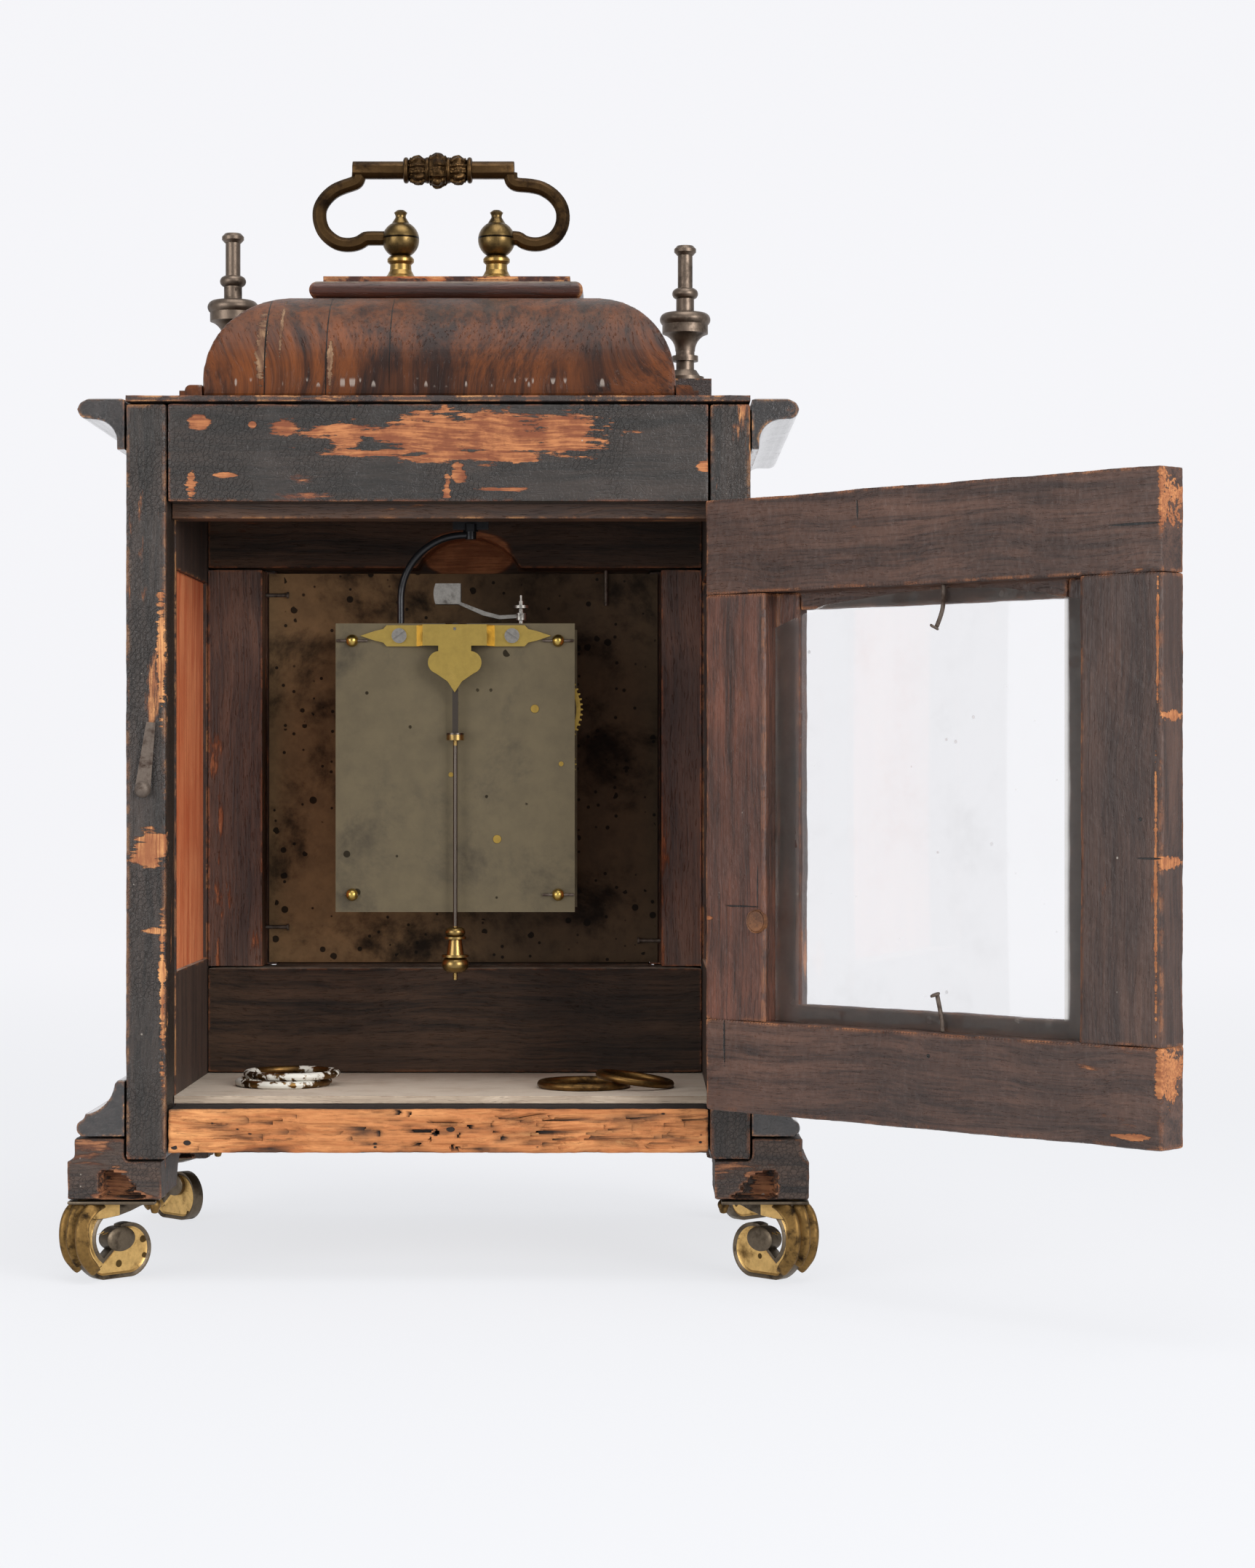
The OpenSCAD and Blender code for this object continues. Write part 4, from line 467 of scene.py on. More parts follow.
def metal(
    name, bright, dull, rough=0.35, patina=0.5, scale=60.0, wear=0.0006, spots=0.0, spot_tone="241d12",
    metallic=1.0,
):
    """Old metal: bright where it is rubbed, dull and spotted elsewhere."""
    skin = Skin(name)
    t = skin.nodes
    whole = t.spot()
    cover = t.mask("patches", whole, Scale=scale, Cover=patina, Softness=0.22)
    rubbed = t.mask("edge_wear", whole, Width=wear, Breaks=300.0)
    fog = t.cloud(whole, 4.5 * scale, 5.0, 0.7).band(0.3, 0.75)
    colour = t.mixed(cover, bright, dull)
    colour = t.mixed(fog * 0.35, colour, dull)
    colour = t.mixed(rubbed * 0.8, colour, bright)
    gloss = t.blended(cover, rough, min(0.95, rough + 0.25))
    if spots:
        marks = t.mask("specks", whole, Scale=240.0, Radius=0.3, Share=spots)
        colour = t.mixed(marks * 0.85, colour, spot_tone)
        gloss = t.blended(marks, gloss, 0.85)
    scratches = t.cloud(t.stretched(whole, 300, 1200, 700), 1.0, 3.0, 0.6)
    normal = t.bump(scratches * 0.3 + cover * -0.4, 0.35, 0.0003)
    skin.dress({"Base Color": colour, "Roughness": gloss, "Metallic": metallic, "Normal": normal})
    return skin


def pendulum_metal():
    """Dark iron rod above a brass bob, with a brass collar."""
    skin = metal("pendulum_brass_and_iron", "8d7446", "463824", rough=0.32, patina=0.45, scale=90.0)
    height = skin.nodes.part(skin.nodes.spot(), "Z")
    collar = abs(height - COLLAR_Z) < COLLAR_HALF
    skin.paint((height > BOB_TOP_Z) * (1.0 - collar), "4d4640")
    return skin


def post_metal():
    """Brown brass balls on yellow, rubbed feet, with a dark line round each ball."""
    skin = metal("post_brass", "6f5a37", "281f16", rough=0.34, patina=0.5, scale=90.0, wear=0.001)
    height = skin.nodes.part(skin.nodes.spot(), "Z")
    skin.paint(height.band(*POST_FOOT_Z) * 0.6, "a3834a")
    skin.paint(abs(height - BAIL_Z).band(0.0006, 0.0002), "130e09")
    return skin


def dial_metal():
    """Back of the dial plate: brown on its left, nearly black on its right."""
    skin = metal(
        "dial_back", "8a6b48", "2c2219", rough=0.62, patina=0.6, scale=26.0, spots=0.3, metallic=0.6,
        spot_tone="14110d",
    )
    t = skin.nodes
    black = t.mixed(0.72, skin.colour(), "14100c")
    skin.paint(t.part(t.spot(), "X").band(0.045, -0.03), black)
    return skin


def ring_metal():
    """Brown curtain rings, two of them with old white paint."""
    skin = metal("ring_brass", "7a5c34", "33261a", rough=0.42, patina=0.6, scale=90.0, wear=0.001)
    t = skin.nodes
    flakes = t.mask("patches", t.spot(), Scale=70.0, Cover=0.5, Softness=0.03)
    white = flakes * t.part(t.spot(), "X").band(0.02, 0.03)
    skin.paint(white, "cfccc2")
    skin.dress({"Metallic": 1.0 - white})
    return skin


def window_glass(name, turn=0.0, opening=None):
    """Thin old pane, a little grimy, with a film of dust and splashes where the door's lips cover it."""
    skin = Skin(name)
    t = skin.nodes
    whole = t.spot(turn)
    grime = t.cloud(whole, 30.0, 8.0, 0.7).band(0.45, 0.85)
    marks = t.mask("specks", whole, Scale=240.0, Radius=0.12, Share=0.05)
    dirty = (grime * 0.2).or_more(marks * 0.6)
    colour = t.mixed(dirty, "fafbfa", "cfcdc6")
    if opening:
        masks = [
            abs(t.part(whole, axis) - middle).band(half, half + 0.0004) for axis, middle, half in opening
        ]
        covered = masks[0].or_more(masks[1])
        splashes = t.mask("specks", whole, Scale=150.0, Radius=0.2, Share=0.12)
        soot = t.cloud(whole, 90.0, 6.0, 0.65).band(0.3, 0.7)
        film = t.mixed(splashes, t.mixed(soot, "8f877a", "a8a093"), "dedad0")
        colour = t.mixed(covered, colour, film)
        dirty = dirty.or_more(covered * splashes.or_more(0.75))
    skin.dress({
        "Base Color": colour,
        "Roughness": t.blended(dirty, 0.03, 0.5),
        "Transmission Weight": 1.0,
        "IOR": 1.45,
        "Specular IOR Level": 0.04,
        "Alpha": t.blended(dirty, 0.09, 0.7),
    })
    return skin


# Places of wear and of colour changes

# The closed door's frame, reached by turning the open door's coordinates back
DOOR_SHIFT = Vector((0.26036, -0.08932, 0.0))
DOOR_IN_Y = 0.081
# Axis, middle and half size of what the lips leave open of the back door's pane
SIGHT_OPENING = (("X", 0.25821, 0.06325), ("Z", 0.19065, 0.07605))
SCRATCHES_Z = 0.3605
BOB_TOP_Z = 0.1405
COLLAR_Z = 0.2178
COLLAR_HALF = 0.0022
POST_FOOT_Z = (0.4225, 0.4205)
# Band of depth behind the back face over which painted shade darkens the sill, near black below it
SILL_SHADE_BAND = (0.0938, 0.0926)


def on_door(x, z):
    """A spot on the door's inner face, given as it lies when the door is closed."""
    return (x * MM + DOOR_SHIFT.x, DOOR_IN_Y + DOOR_SHIFT.y, z * MM)


def on_back(x, z):
    return (x * MM, BACK_Y, z * MM)


def within(x, z, y):
    """A spot or a half size, from millimetres."""
    return (x * MM, y * MM, z * MM)


def spots(face, rows):
    """Marks from rows of millimetres: x, z, half size in x and z, raggedness, and half depth and y at need."""

    def mark(x, z, a, b, ragged, deep=6.0, *y):
        return face(x, z, *y), within(a, b, deep), ragged

    return [mark(*row) for row in rows]


TOP_RAIL_MARKS = spots(on_back, (
    (61.5, 342.2, 7.5, 3.4, 1.6),
    (37.8, 340.5, 19.0, 2.6, 1.8),
    (36.2, 337.5, 6.5, 7.5, 1.9),
    (28.0, 331.8, 29.0, 2.3, 1.8),
    (2.6, 338.4, 22.0, 8.8, 1.5),
    (-22.0, 338.6, 25.0, 9.6, 1.5),
    (-48.0, 339.4, 26.0, 8.6, 1.6),
    (-17.0, 330.5, 42.0, 3.2, 1.8),
    (-8.0, 325.0, 3.0, 5.0, 1.8),
    (-107.0, 326.0, 4.0, 2.6, 1.8),
    (-25.0, 317.0, 14.0, 1.1, 3.0),
    (95.7, 343.4, 5.0, 3.2, 1.0),
    (74.0, 342.9, 1.8, 1.6, 0.8),
    (84.7, 322.9, 5.5, 1.0, 1.4),
    (-3.5, 319.0, 1.6, 5.5, 2.6),
    (98.5, 321.0, 1.8, 6.0, 2.6),
))
STILE_MARKS = spots(on_back, (
    (114.0, 174.7, 9.0, 8.5, 1.5),
    (112.5, 141.0, 6.0, 1.5, 1.2),
    (110.5, 250.0, 2.2, 26.0, 2.0),
    (110.0, 118.0, 1.6, 30.0, 2.0),
))
DOOR_RAIL_MARKS = spots(on_door, (
    (106.0, 99.0, 2.6, 16.0, 1.8, 20),
    (94.0, 75.5, 9.0, 1.6, 1.6, 20),
    (106.5, 300.0, 1.4, 10.0, 1.8, 20),
))
DOOR_RAIL_CRACKS = spots(on_door, (
    (95.0, 291.0, 11.0, 0.5, 0.5),
    (-30.0, 303.5, 0.5, 4.2, 0.6),
    (3.9, 98.8, 0.8, 0.8, 0.1),
    (-97.0, 99.0, 0.5, 9.0, 0.7),
))
DOOR_STILE_MARKS = spots(on_door, (
    (109.0, 223.6, 3.4, 2.6, 1.2, 20),
    (108.2, 172.3, 4.2, 2.8, 1.2, 20),
    (104.4, 166.0, 0.8, 46.0, 1.3),
    (105.2, 250.0, 0.7, 24.0, 1.5),
    (-106.0, 147.0, 3.6, 0.9, 0.6),
))
DOOR_STILE_CRACKS = spots(on_door, (
    (97.8, 187.2, 0.7, 0.7, 0.1),
    (102.0, 173.5, 5.5, 0.4, 0.8),
    (-79.8, 160.0, 0.35, 9.0, 0.5),
    (-90.0, 152.0, 9.0, 0.4, 1.6),
))
PLINTH_MARKS = spots(within, (
    (-129.0, 38.5, 8.0, 8.5, 1.2, 9.0, 90.0),
    (-126.2, 35.2, 11.0, 2.4, 1.2, 3.0, 95.0),
    (129.0, 38.5, 8.0, 8.5, 1.2, 9.0, 90.0),
    (126.2, 35.2, 11.0, 2.4, 1.2, 3.0, 95.0),
))
# Painted shade: a black streak at the bottom of each rotten hollow of the plinth, laid on as a crack mark
PLINTH_HOLLOW_SHADE = spots(within, [(side * 126.5, 33.1, 8.0, 1.5, 0.8, 6.4, 87.0) for side in (-1, 1)])
PLATFORM_MARKS = spots(within, (
    (5.0, 410.5, 4.0, 1.6, 1.6, 90.0, 20.5),
    (16.0, 411.2, 7.0, 0.9, 2.4, 90.0, 20.5),
    (-20.0, 410.8, 12.0, 0.7, 2.6, 90.0, 20.5),
))
DOME_FILLED = spots(within, (
    (71.6, 372.0, 2.2, 17.0, 2.2, 40.0, 90.0),
    (43.8, 368.0, 1.2, 14.0, 1.8, 40.0, 90.0),
    (64.0, 386.0, 0.7, 16.0, 1.8, 40.0, 90.0),
))
DOME_SEAMS = spots(within, (
    (45.4, 384.0, 0.25, 40.0, 0.12, 40.0, 90.0),
    (70.0, 384.0, 0.3, 34.0, 0.3, 40.0, 90.0),
    (20.0, 384.0, 0.25, 26.0, 0.2, 40.0, 90.0),
))
BELL_RECESS = spots(within, [(-5.5, 300.5, 21.0, 11.0, 0.1, 30.0, -40.0)])


def case_finishes():
    black = {"dark": "17130f", "light": "372d27", "varnish": 0.9, "specks": 0.07, "rough": 0.4}
    return {
        "stile": wood("ebonised_stile", **black, along="Z", bare_cover=0.22, wear=0.003, marks=STILE_MARKS),
        "top_rail": wood(
            "ebonised_top_rail", **black, bare="713b1f", raw="ad6f42", bare_cover=0.12, marks=TOP_RAIL_MARKS
        ),
        "sill": wood(
            "bare_sill", "9c5a2c", "d3935a", bare="a8642f", raw="e0aa6c", bare_cover=0.2, holes=0.1,
            rough=0.8, dents=1.6, wear_share=0.5, deep=SILL_SHADE_BAND,
        ),
        "frame_in": wood("case_side", "2b201b", "4b382e", along="Z", dust=0.7, rough=0.6, bare_cover=0.14),
        "panel": wood(
            "red_panel", "c05731", "f09866", bare="d47347", raw="f09c68", along="Z", wear=0.001, rough=0.45,
            wear_share=0.3,
        ),
        "dark_x": wood("dark_wood_across", "1f1613", "40302a", dust=0.5, bare_cover=0.2, varnish=0.5),
        "stop": wood("stop_rail_wood", "2c1d15", "5d3f2b", bare="8d5630", bare_cover=0.3),
        # Painted shade: the mask rails' colours are darker than the uprights' to stand for the shade under the
        # top rail in the upper inside of the case
        "mask_x": wood(
            "mask_wood_across_painted_shade", "1b120c", "453123", bare="6b3d22", raw="8f5a38", rough=0.65, shine=0.25,
            dust=0.3, bare_cover=0.16, marks=BELL_RECESS,
        ),
        "mask_z": wood(
            "mask_wood_upright", "35221a", "6b4a39", bare="8a4c29", raw="b26f45", along="Z",
            bare_cover=0.28, dust=0.3,
        ),
        "floor": wood("dusty_floor", "a08e7b", "cfbca7", dust=1.0, rough=0.85, wear_share=0.2),
        "moulding_y": wood(
            "ebonised_moulding_side", "151211", "302926", along="Y", bare="6b4530", rough=0.22,
            bare_cover=0.12, dust=0.2, varnish=0.5, coat=0.9,
        ),
        "plinth": wood(
            "plinth_wood", "1d1613", "4a382d", bare="5c3520", raw="9a6540", rough=0.6, bare_cover=0.3,
            varnish=0.9, dents=1.2, specks=0.16, marks=PLINTH_MARKS, cracks=PLINTH_HOLLOW_SHADE,
        ),
        "dome": dome_veneer(),
        "platform": wood(
            "platform_wood", "1f0f0a", "4a2416", bare="8a4a28", raw="c08a58", rough=0.4, dust=0.3, wear=0.003,
            coat=0.2, shine=0.3, marks=PLATFORM_MARKS,
        ),
    }


def door_finishes():
    door = {"dark": "2a1b15", "raw": "b97a4a", "turn": -DOOR_ANGLE, "rough": 0.46, "specks": 0.02}
    door.update(bare_cover=0.14, wear=0.003)
    stile = {"along": "Z", "marks": DOOR_STILE_MARKS, "cracks": DOOR_STILE_CRACKS}
    return {
        "door_x": wood(
            "door_wood_across", light="5c4033", **door, marks=DOOR_RAIL_MARKS, cracks=DOOR_RAIL_CRACKS
        ),
        "door_z": wood("door_wood_upright", light="523a2f", **door, **stile),
        "door_red": wood("door_wood_hinge_side", light="6b4131", **door, **stile),
        "plug": wood("end_grain_plug", "4a2c1a", "8a5a34", along="Y", wear_share=0.0, rough=0.6),
        "glass": window_glass("window_pane"),
        "door_pane": window_glass("back_door_pane", -DOOR_ANGLE, SIGHT_OPENING),
    }


def metal_finishes():
    return {
        "dial": dial_metal(),
        "plate": metal(
            "movement_plate", "665b46", "463f34", rough=0.45, scale=20.0, spots=0.02, metallic=0.75
        ),
        "brass": metal("yellow_brass", "b0954f", "8a7440", rough=0.32, patina=0.3, scale=80.0),
        "wheel": metal("wheel_brass", "a88a45", "6e5a30", rough=0.36, patina=0.35, scale=80.0),
        "bronze": metal("finial_bronze", "74665a", "332b25", rough=0.42, patina=0.6, scale=70.0, wear=0.0012),
        "rings": ring_metal(),
        "handle": metal("handle_bronze", "4f3b24", "1e150f", rough=0.4, patina=0.6, wear=0.0007),
        "gilt": metal(
            "worn_gilt", "dbb472", "6b5230", rough=0.42, scale=85.0, wear=0.0004, spots=0.2,
            spot_tone="3a2c1a",
        ),
        "foot_rim": metal("foot_rim_bronze", "6b5f50", "3a322a", rough=0.45, patina=0.55, scale=110.0),
        "leaf": metal("leaf_gilt", "86683c", "30261c", rough=0.5, patina=0.62, scale=140.0, wear=0.0008),
        "ball": post_metal(),
        "pendulum": pendulum_metal(),
        "steel": metal("grey_steel", "8d8983", "3c3733", rough=0.38, patina=0.45, scale=150.0),
        "rust": metal("rusty_iron", "6a5f56", "3a2a21", rough=0.6, patina=0.6, scale=180.0, metallic=0.7),
        "iron": metal("black_iron", "2a2a2c", "151414", rough=0.3, patina=0.4, scale=90.0, metallic=0.6),
        "blued": metal("blued_steel", "232a3d", "15161c", rough=0.28, patina=0.3, scale=120.0),
        "silver": metal(
            "chapter_silver", "c9c5b8", "8b8572", rough=0.4, patina=0.35, scale=70.0, metallic=0.8
        ),
    }


def all_finishes():
    made = {**case_finishes(), **door_finishes(), **metal_finishes()}
    return {finish: skin.mat for finish, skin in made.items()}


NODE_FINISH = {
    "stile": "rear_stiles",
    "top_rail": "rear_top_rail",
    "sill": "rear_bottom_rail",
    "frame_in": "side_frame_left side_frame_right",
    "panel": "side_panels",
    "dark_x": "top_board front_rails finial_blocks front_door_frame",
    "stop": "door_stop_rail",
    "mask_x": "mask_rails",
    "mask_z": "mask_stiles",
    "door_x": "door_rails",
    "door_z": "door_lock_stile",
    "door_red": "door_hinge_stile",
    "floor": "floor_board",
    "moulding_y": "cornice base_moulding",
    "plinth": "plinth_front plinth_sides",
    "dome": "dome dome_strips",
    "platform": "platform",
    "dial": "dial_plate",
    "plate": "back_plate front_plate",
    "brass": "back_cock arbor_brackets front_door_hinge_leaves movement_pillars",
    "ball": "handle_posts",
    "pendulum": "pendulum",
    "wheel": "great_wheel centre_wheel contrate_wheel crown_wheel minute_wheel hour_wheel "
    "alarm_great_wheel alarm_pin_wheel",
    "bronze": "finials",
    "rings": "loose_rings",
    "handle": "handle",
    "gilt": "feet",
    "steel": "cock_screws verge hammer",
    "rust": "pillar_pins latch case_nails door_nails case_hinges door_hinge_leaves",
    "iron": "bell_stand",
    "blued": "minute_hand hour_hand",
    "silver": "chapter_ring",
    "glass": "front_door_glass",
    "door_pane": "door_glass",
}


def paint_nodes():
    for finish, names in NODE_FINISH.items():
        for name in names.split():
            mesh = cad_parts[name].data
            mesh.materials.clear()
            mesh.materials.append(FINISHES[finish])


# Modelling helpers


def start_piece():
    """Object mode with nothing selected."""
    if bpy.context.mode != "OBJECT":
        bpy.ops.object.mode_set(mode="OBJECT")
    bpy.ops.object.select_all(action="DESELECT")


def choose(obj):
    """Object mode with one object selected."""
    start_piece()
    obj.select_set(True)
    bpy.context.view_layer.objects.active = obj


def edit(obj, kind="FACE"):
    """Edit mode on one object, with nothing selected in it."""
    choose(obj)
    bpy.ops.object.mode_set(mode="EDIT")
    bpy.ops.mesh.select_mode(type=kind)
    bpy.ops.mesh.select_all(action="DESELECT")


def pick(obj, test, kind="FACE"):
    """Selects the faces, edges or points whose middle passes the test, and says whether there are any.

    The test gets the middle and, of a face, the normal.
    """
    bpy.ops.object.mode_set(mode="OBJECT")
    mesh = obj.data
    kinds = {"FACE": mesh.polygons, "EDGE": mesh.edges, "VERT": mesh.vertices}
    for parts in kinds.values():
        parts.foreach_set("select", [False] * len(parts))
    found = False
    for part in kinds[kind]:
        if kind == "FACE":
            part.select = bool(test(part.center, part.normal))
        elif kind == "EDGE":
            a, b = (mesh.vertices[i].co for i in part.vertices)
            part.select = bool(test((a + b) / 2, None))
        else:
            part.select = bool(test(part.co, None))
        found = found or part.select
    bpy.ops.object.mode_set(mode="EDIT")
    bpy.ops.mesh.select_mode(type=kind)
    return found


def pick_all():
    bpy.ops.mesh.select_all(action="SELECT")


def face_outwards():
    pick_all()
    bpy.ops.mesh.normals_make_consistent(inside=False)


def inset(thickness, depth=0):
    bpy.ops.mesh.inset(thickness=thickness, depth=depth)


def lay_second():
    """Gives the selected faces the piece's second finish."""
    bpy.context.object.active_material_index = 1
    bpy.ops.object.material_slot_assign()


def push(by):
    bpy.ops.transform.translate(value=by)


def pull_out(by):
    bpy.ops.mesh.extrude_region_move(TRANSFORM_OT_translate={"value": by})


def turn_about(angle, axis, centre):
    """Right-handed turn of what is selected; the operator turns the other way when there is no window."""
    bpy.ops.transform.rotate(value=-angle, orient_axis=axis, center_override=centre)


def scale_about(by, centre):
    bpy.ops.transform.resize(value=by, center_override=centre)


def modify(obj, kind, **settings):
    """Adds a modifier and applies it."""
    choose(obj)
    made = obj.modifiers.new(kind.lower(), kind)
    for key, value in settings.items():
        setattr(made, key, value)
    bpy.ops.object.modifier_apply(modifier=made.name)


def soften(obj, width, angle=40):
    """Rounds the edges that are sharper than the angle."""
    limit = math.radians(angle)
    modify(obj, "BEVEL", width=width, segments=2, limit_method="ANGLE", angle_limit=limit)


def newly(add, **settings):
    """The object that an operator adds."""
    start_piece()
    add(**settings)
    return bpy.context.active_object


def lay(obj, *finishes):
    """Gives a piece its finishes; the first one is everywhere until another is assigned."""
    for finish in finishes:
        obj.data.materials.append(FINISHES[finish])


def join(objects):
    start_piece()
    for obj in objects:
        obj.select_set(True)
    bpy.context.view_layer.objects.active = objects[0]
    bpy.ops.object.join()
    return objects[0]


def place(obj, move=(0, 0, 0), turn=(0, 0, 0), scale=(1, 1, 1)):
    """Moves a piece and puts its place in its mesh."""
    choose(obj)
    obj.scale = scale
    obj.rotation_euler = turn
    obj.location = move
    bpy.ops.object.transform_apply(location=True, rotation=True, scale=True)


def close_up(obj, smooth=35):
    """Doubles merged, faces outwards, soft shading below the given angle."""
    edit(obj)
    pick_all()
    bpy.ops.mesh.remove_doubles(threshold=1e-6)
    face_outwards()
    choose(obj)
    bpy.ops.object.shade_smooth_by_angle(angle=math.radians(smooth))


def hand_over(obj, name, body, slot, finish, *nodes):
    """Names a finished piece, gives it its body and, if one is given, its finish; may replace nodes."""
    obj.name = name
    obj.data.name = name
    if finish:
        obj.data.materials.clear()
        lay(obj, finish)
    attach(obj, body)
    if nodes:
        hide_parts(*nodes)


def own_copy(obj):
    twin = obj.copy()
    twin.data = obj.data.copy()
    bpy.context.collection.objects.link(twin)
    return twin


# Scroll feet

# Where the feet stand, and the shape of one in its own plane, as X and Z from its axis at floor level
FOOT_CENTRE = Vector((0.1325, 0.079, 0.0))
FOOT_FRONT_Y = -0.1025
FOOT_TOP = 0.0331
RING_CENTRE = Vector((0.0, 0.0170))
RING_R = 0.018
HOLLOW_CENTRE = Vector((-0.001, 0.0170))
HOLLOW_R = 0.0106
CURL_CENTRE = Vector((-0.0065, 0.0112))
CURL_R = 0.0111
EYE_CENTRE = Vector((-0.0024, 0.0160))
EYE_R = 0.0056
BAND_HALF = 0.0025
WEB_HALF = 0.0038
WEB_LOWER_EDGE = (
    (0.0158, 0.0316), (0.0146, 0.0298), (0.0138, 0.0280), (0.0128, 0.0258), (0.0105, 0.0250),
    (0.0055, 0.0250), (-0.001, 0.0256), (-0.007, 0.0270), (-0.012, 0.0282), (-0.018, 0.0297),
    (-0.022, 0.0304), (-0.0255, 0.0312),
)


def around(centre, radius, degrees):
    angle = math.radians(degrees)
    return centre + radius * Vector((math.cos(angle), math.sin(angle)))


def first_edge(cuts=0):
    """One edge of length 2 along X, in edit mode and selected."""
    obj = newly(bpy.ops.mesh.primitive_plane_add, size=2)
    edit(obj, "VERT")
    pick(obj, lambda c, d: c.y < 0, "VERT")
    bpy.ops.mesh.delete(type="VERT")
    pick_all()
    push((0, -1, 0))
    if cuts:
        bpy.ops.mesh.subdivide(number_cuts=cuts)
    return obj


def trace_band(pairs, half):
    """A flat band drawn edge by edge through pairs of outer and inner points, then given its thickness."""
    obj = first_edge()
    middle = Vector((0.0, 0.0))
    heading = 0.0
    length = 2.0
    for index, (outer, inner) in enumerate(pairs):
        spot = (outer + inner) / 2
        by = (spot.x - middle.x, 0, spot.y - middle.y)
        if index:
            pull_out(by)
        else:
            push(by)
        centre = (spot.x, 0, spot.y)
        across = outer - inner
        scale_about((across.length / length,) * 3, centre)
        new = math.atan2(across.y, across.x)
        turn_about(heading - new, "Y", centre)
        middle, heading, length = spot, new, across.length
    pick_all()
    push((0, half, 0))
    pull_out((0, -2 * half, 0))
    face_outwards()
    return obj


def channel(obj, half, rim, depth):
    """Sinks a channel with a rim around it into both sides of a band, and lays the second finish in it."""
    for side in (-1, 1):
        pick(obj, lambda c, n: c.y * side > half * 0.98 and abs(n.y) > 0.9)
        inset(rim)
        lay_second()
        push((0, -side * depth * 0.45, 0))
        inset(rim * 0.5)
        push((0, -side * depth * 0.55, 0))


def scroll(half):
    """The C of the foot, from the knee round the bottom into the curl."""
    pairs = []
    for a in range(80, -91, -5):
        outer = around(RING_CENTRE, RING_R, a)
        inner = around(HOLLOW_CENTRE, HOLLOW_R, max(a, -50))
        rise = max(0, -50 - a) / 40
        pairs.append((Vector((outer.x, max(outer.y, 0.0003))), inner.lerp(EYE_CENTRE, 0.86 * rise)))
    for a in range(-98, -291, -8):
        outer = around(CURL_CENTRE, CURL_R, a)
        pairs.append((Vector((outer.x, max(outer.y, 0.0003))), around(EYE_CENTRE, EYE_R * 0.14, a)))
    obj = trace_band(pairs, half)
    lay(obj, "foot_rim", "gilt")
    channel(obj, half, 0.0016, 0.0012)
    soften(obj, 0.0004)
    return obj


def foot_web(half):
    """The arm under the plate: hollow on its outer end, thin at its inner end."""
    pairs = [(Vector((x, FOOT_TOP - 0.0002)), Vector((x, z))) for x, z in WEB_LOWER_EDGE]
    obj = trace_band(pairs, half)
    pick(obj, lambda c, n: c.x < -0.012, "VERT")
    scale_about((1, 0.72, 1), (0, 0, 0))
    soften(obj, 0.0006)
    lay(obj, "foot_rim", "gilt")
    edit(obj)
    pick(obj, lambda c, n: abs(n.y) > 0.8 and c.x > -0.004)
    lay_second()
    return obj


def foot_eye(half):
    """The boss in the middle of the curl."""
    obj = newly(bpy.ops.mesh.primitive_cylinder_add, vertices=40, radius=EYE_R, depth=2 * half)
    place(obj, turn=(math.radians(90), 0, 0))
    place(obj, (EYE_CENTRE.x, 0, EYE_CENTRE.y), scale=(1.22, 1, 0.88))
    lay(obj, "foot_rim")
    edit(obj)
    for side in (-1, 1):
        pick(obj, lambda c, n: n.y * side > 0.9)
        inset(0.0006, 0.0004)
        inset(0.0016, 0.0002)
    return obj


# Widths of a leaf's tongue in millimetres, from its root to its tip
LEAF_WIDTHS = (3.6, 5.6, 7.2, 7.8, 7.0, 6.0, 6.6, 7.6, 7.9, 7.2, 6.2, 6.6, 7.2, 6.6, 5.2, 3.2)


def leaf_tongue(across, start, step, widths, lift):
    """One tongue of the leaf on the knee: a ribbed row drawn out round the scroll, curled at its tip."""
    obj = first_edge(cuts=9)
    turn_about(math.radians(90), "Z", (0, 0, 0))
    width = widths[0] * MM
    scale_about((width / 2,) * 3, (0, 0, 0))
    obj.update_from_editmode()
    for y in sorted({round(v.co.y, 6) for v in obj.data.vertices}):
        share = 2 * y / width
        rib = 0.0012 * math.exp(-((share * 2.6) ** 2))
        droop = 0.0022 * share * share
        pick(obj, lambda c, d: abs(c.y - y) < 2e-6, "VERT")
        push((rib - droop, 0, 0))
    pick_all()
    spot = around(RING_CENTRE, RING_R + lift, start)
    turn_about(math.radians(-start), "Y", (0, 0, 0))
    push((spot.x, across, spot.y))
    for row, wide in enumerate(widths[1:], 1):
        angle = start - step * row
        tip = row / (len(widths) - 1)
        bulge = 0.0034 * math.sin(math.pi * min(1.0, 1.15 * tip))
        waves = 0.0008 * math.sin(tip * 9.0)
        new = around(RING_CENTRE, RING_R + lift + bulge + waves, angle)
        pull_out((new.x - spot.x, 0, new.y - spot.y))
        centre = (new.x, across, new.y)
        turn_about(math.radians(step), "Y", centre)
        scale_about((1, wide * MM / width, 1), centre)
        width = wide * MM
        spot = new
    modify(obj, "SOLIDIFY", thickness=0.0016, offset=0)
    modify(obj, "SUBSURF", levels=1, render_levels=1)
    return obj


def foot_leaf():
    """Acanthus leaf of three tongues, the middle one narrower and higher."""
    slim = tuple(0.7 * w for w in LEAF_WIDTHS)
    tongues = [leaf_tongue(0.0, 66, 6.6, slim, 0.0004)]
    tongues += [leaf_tongue(side * 0.0054, 58, 7.0, LEAF_WIDTHS, -0.0006) for side in (1, -1)]
    leaf = join(tongues)
    lay(leaf, "leaf")
    return leaf


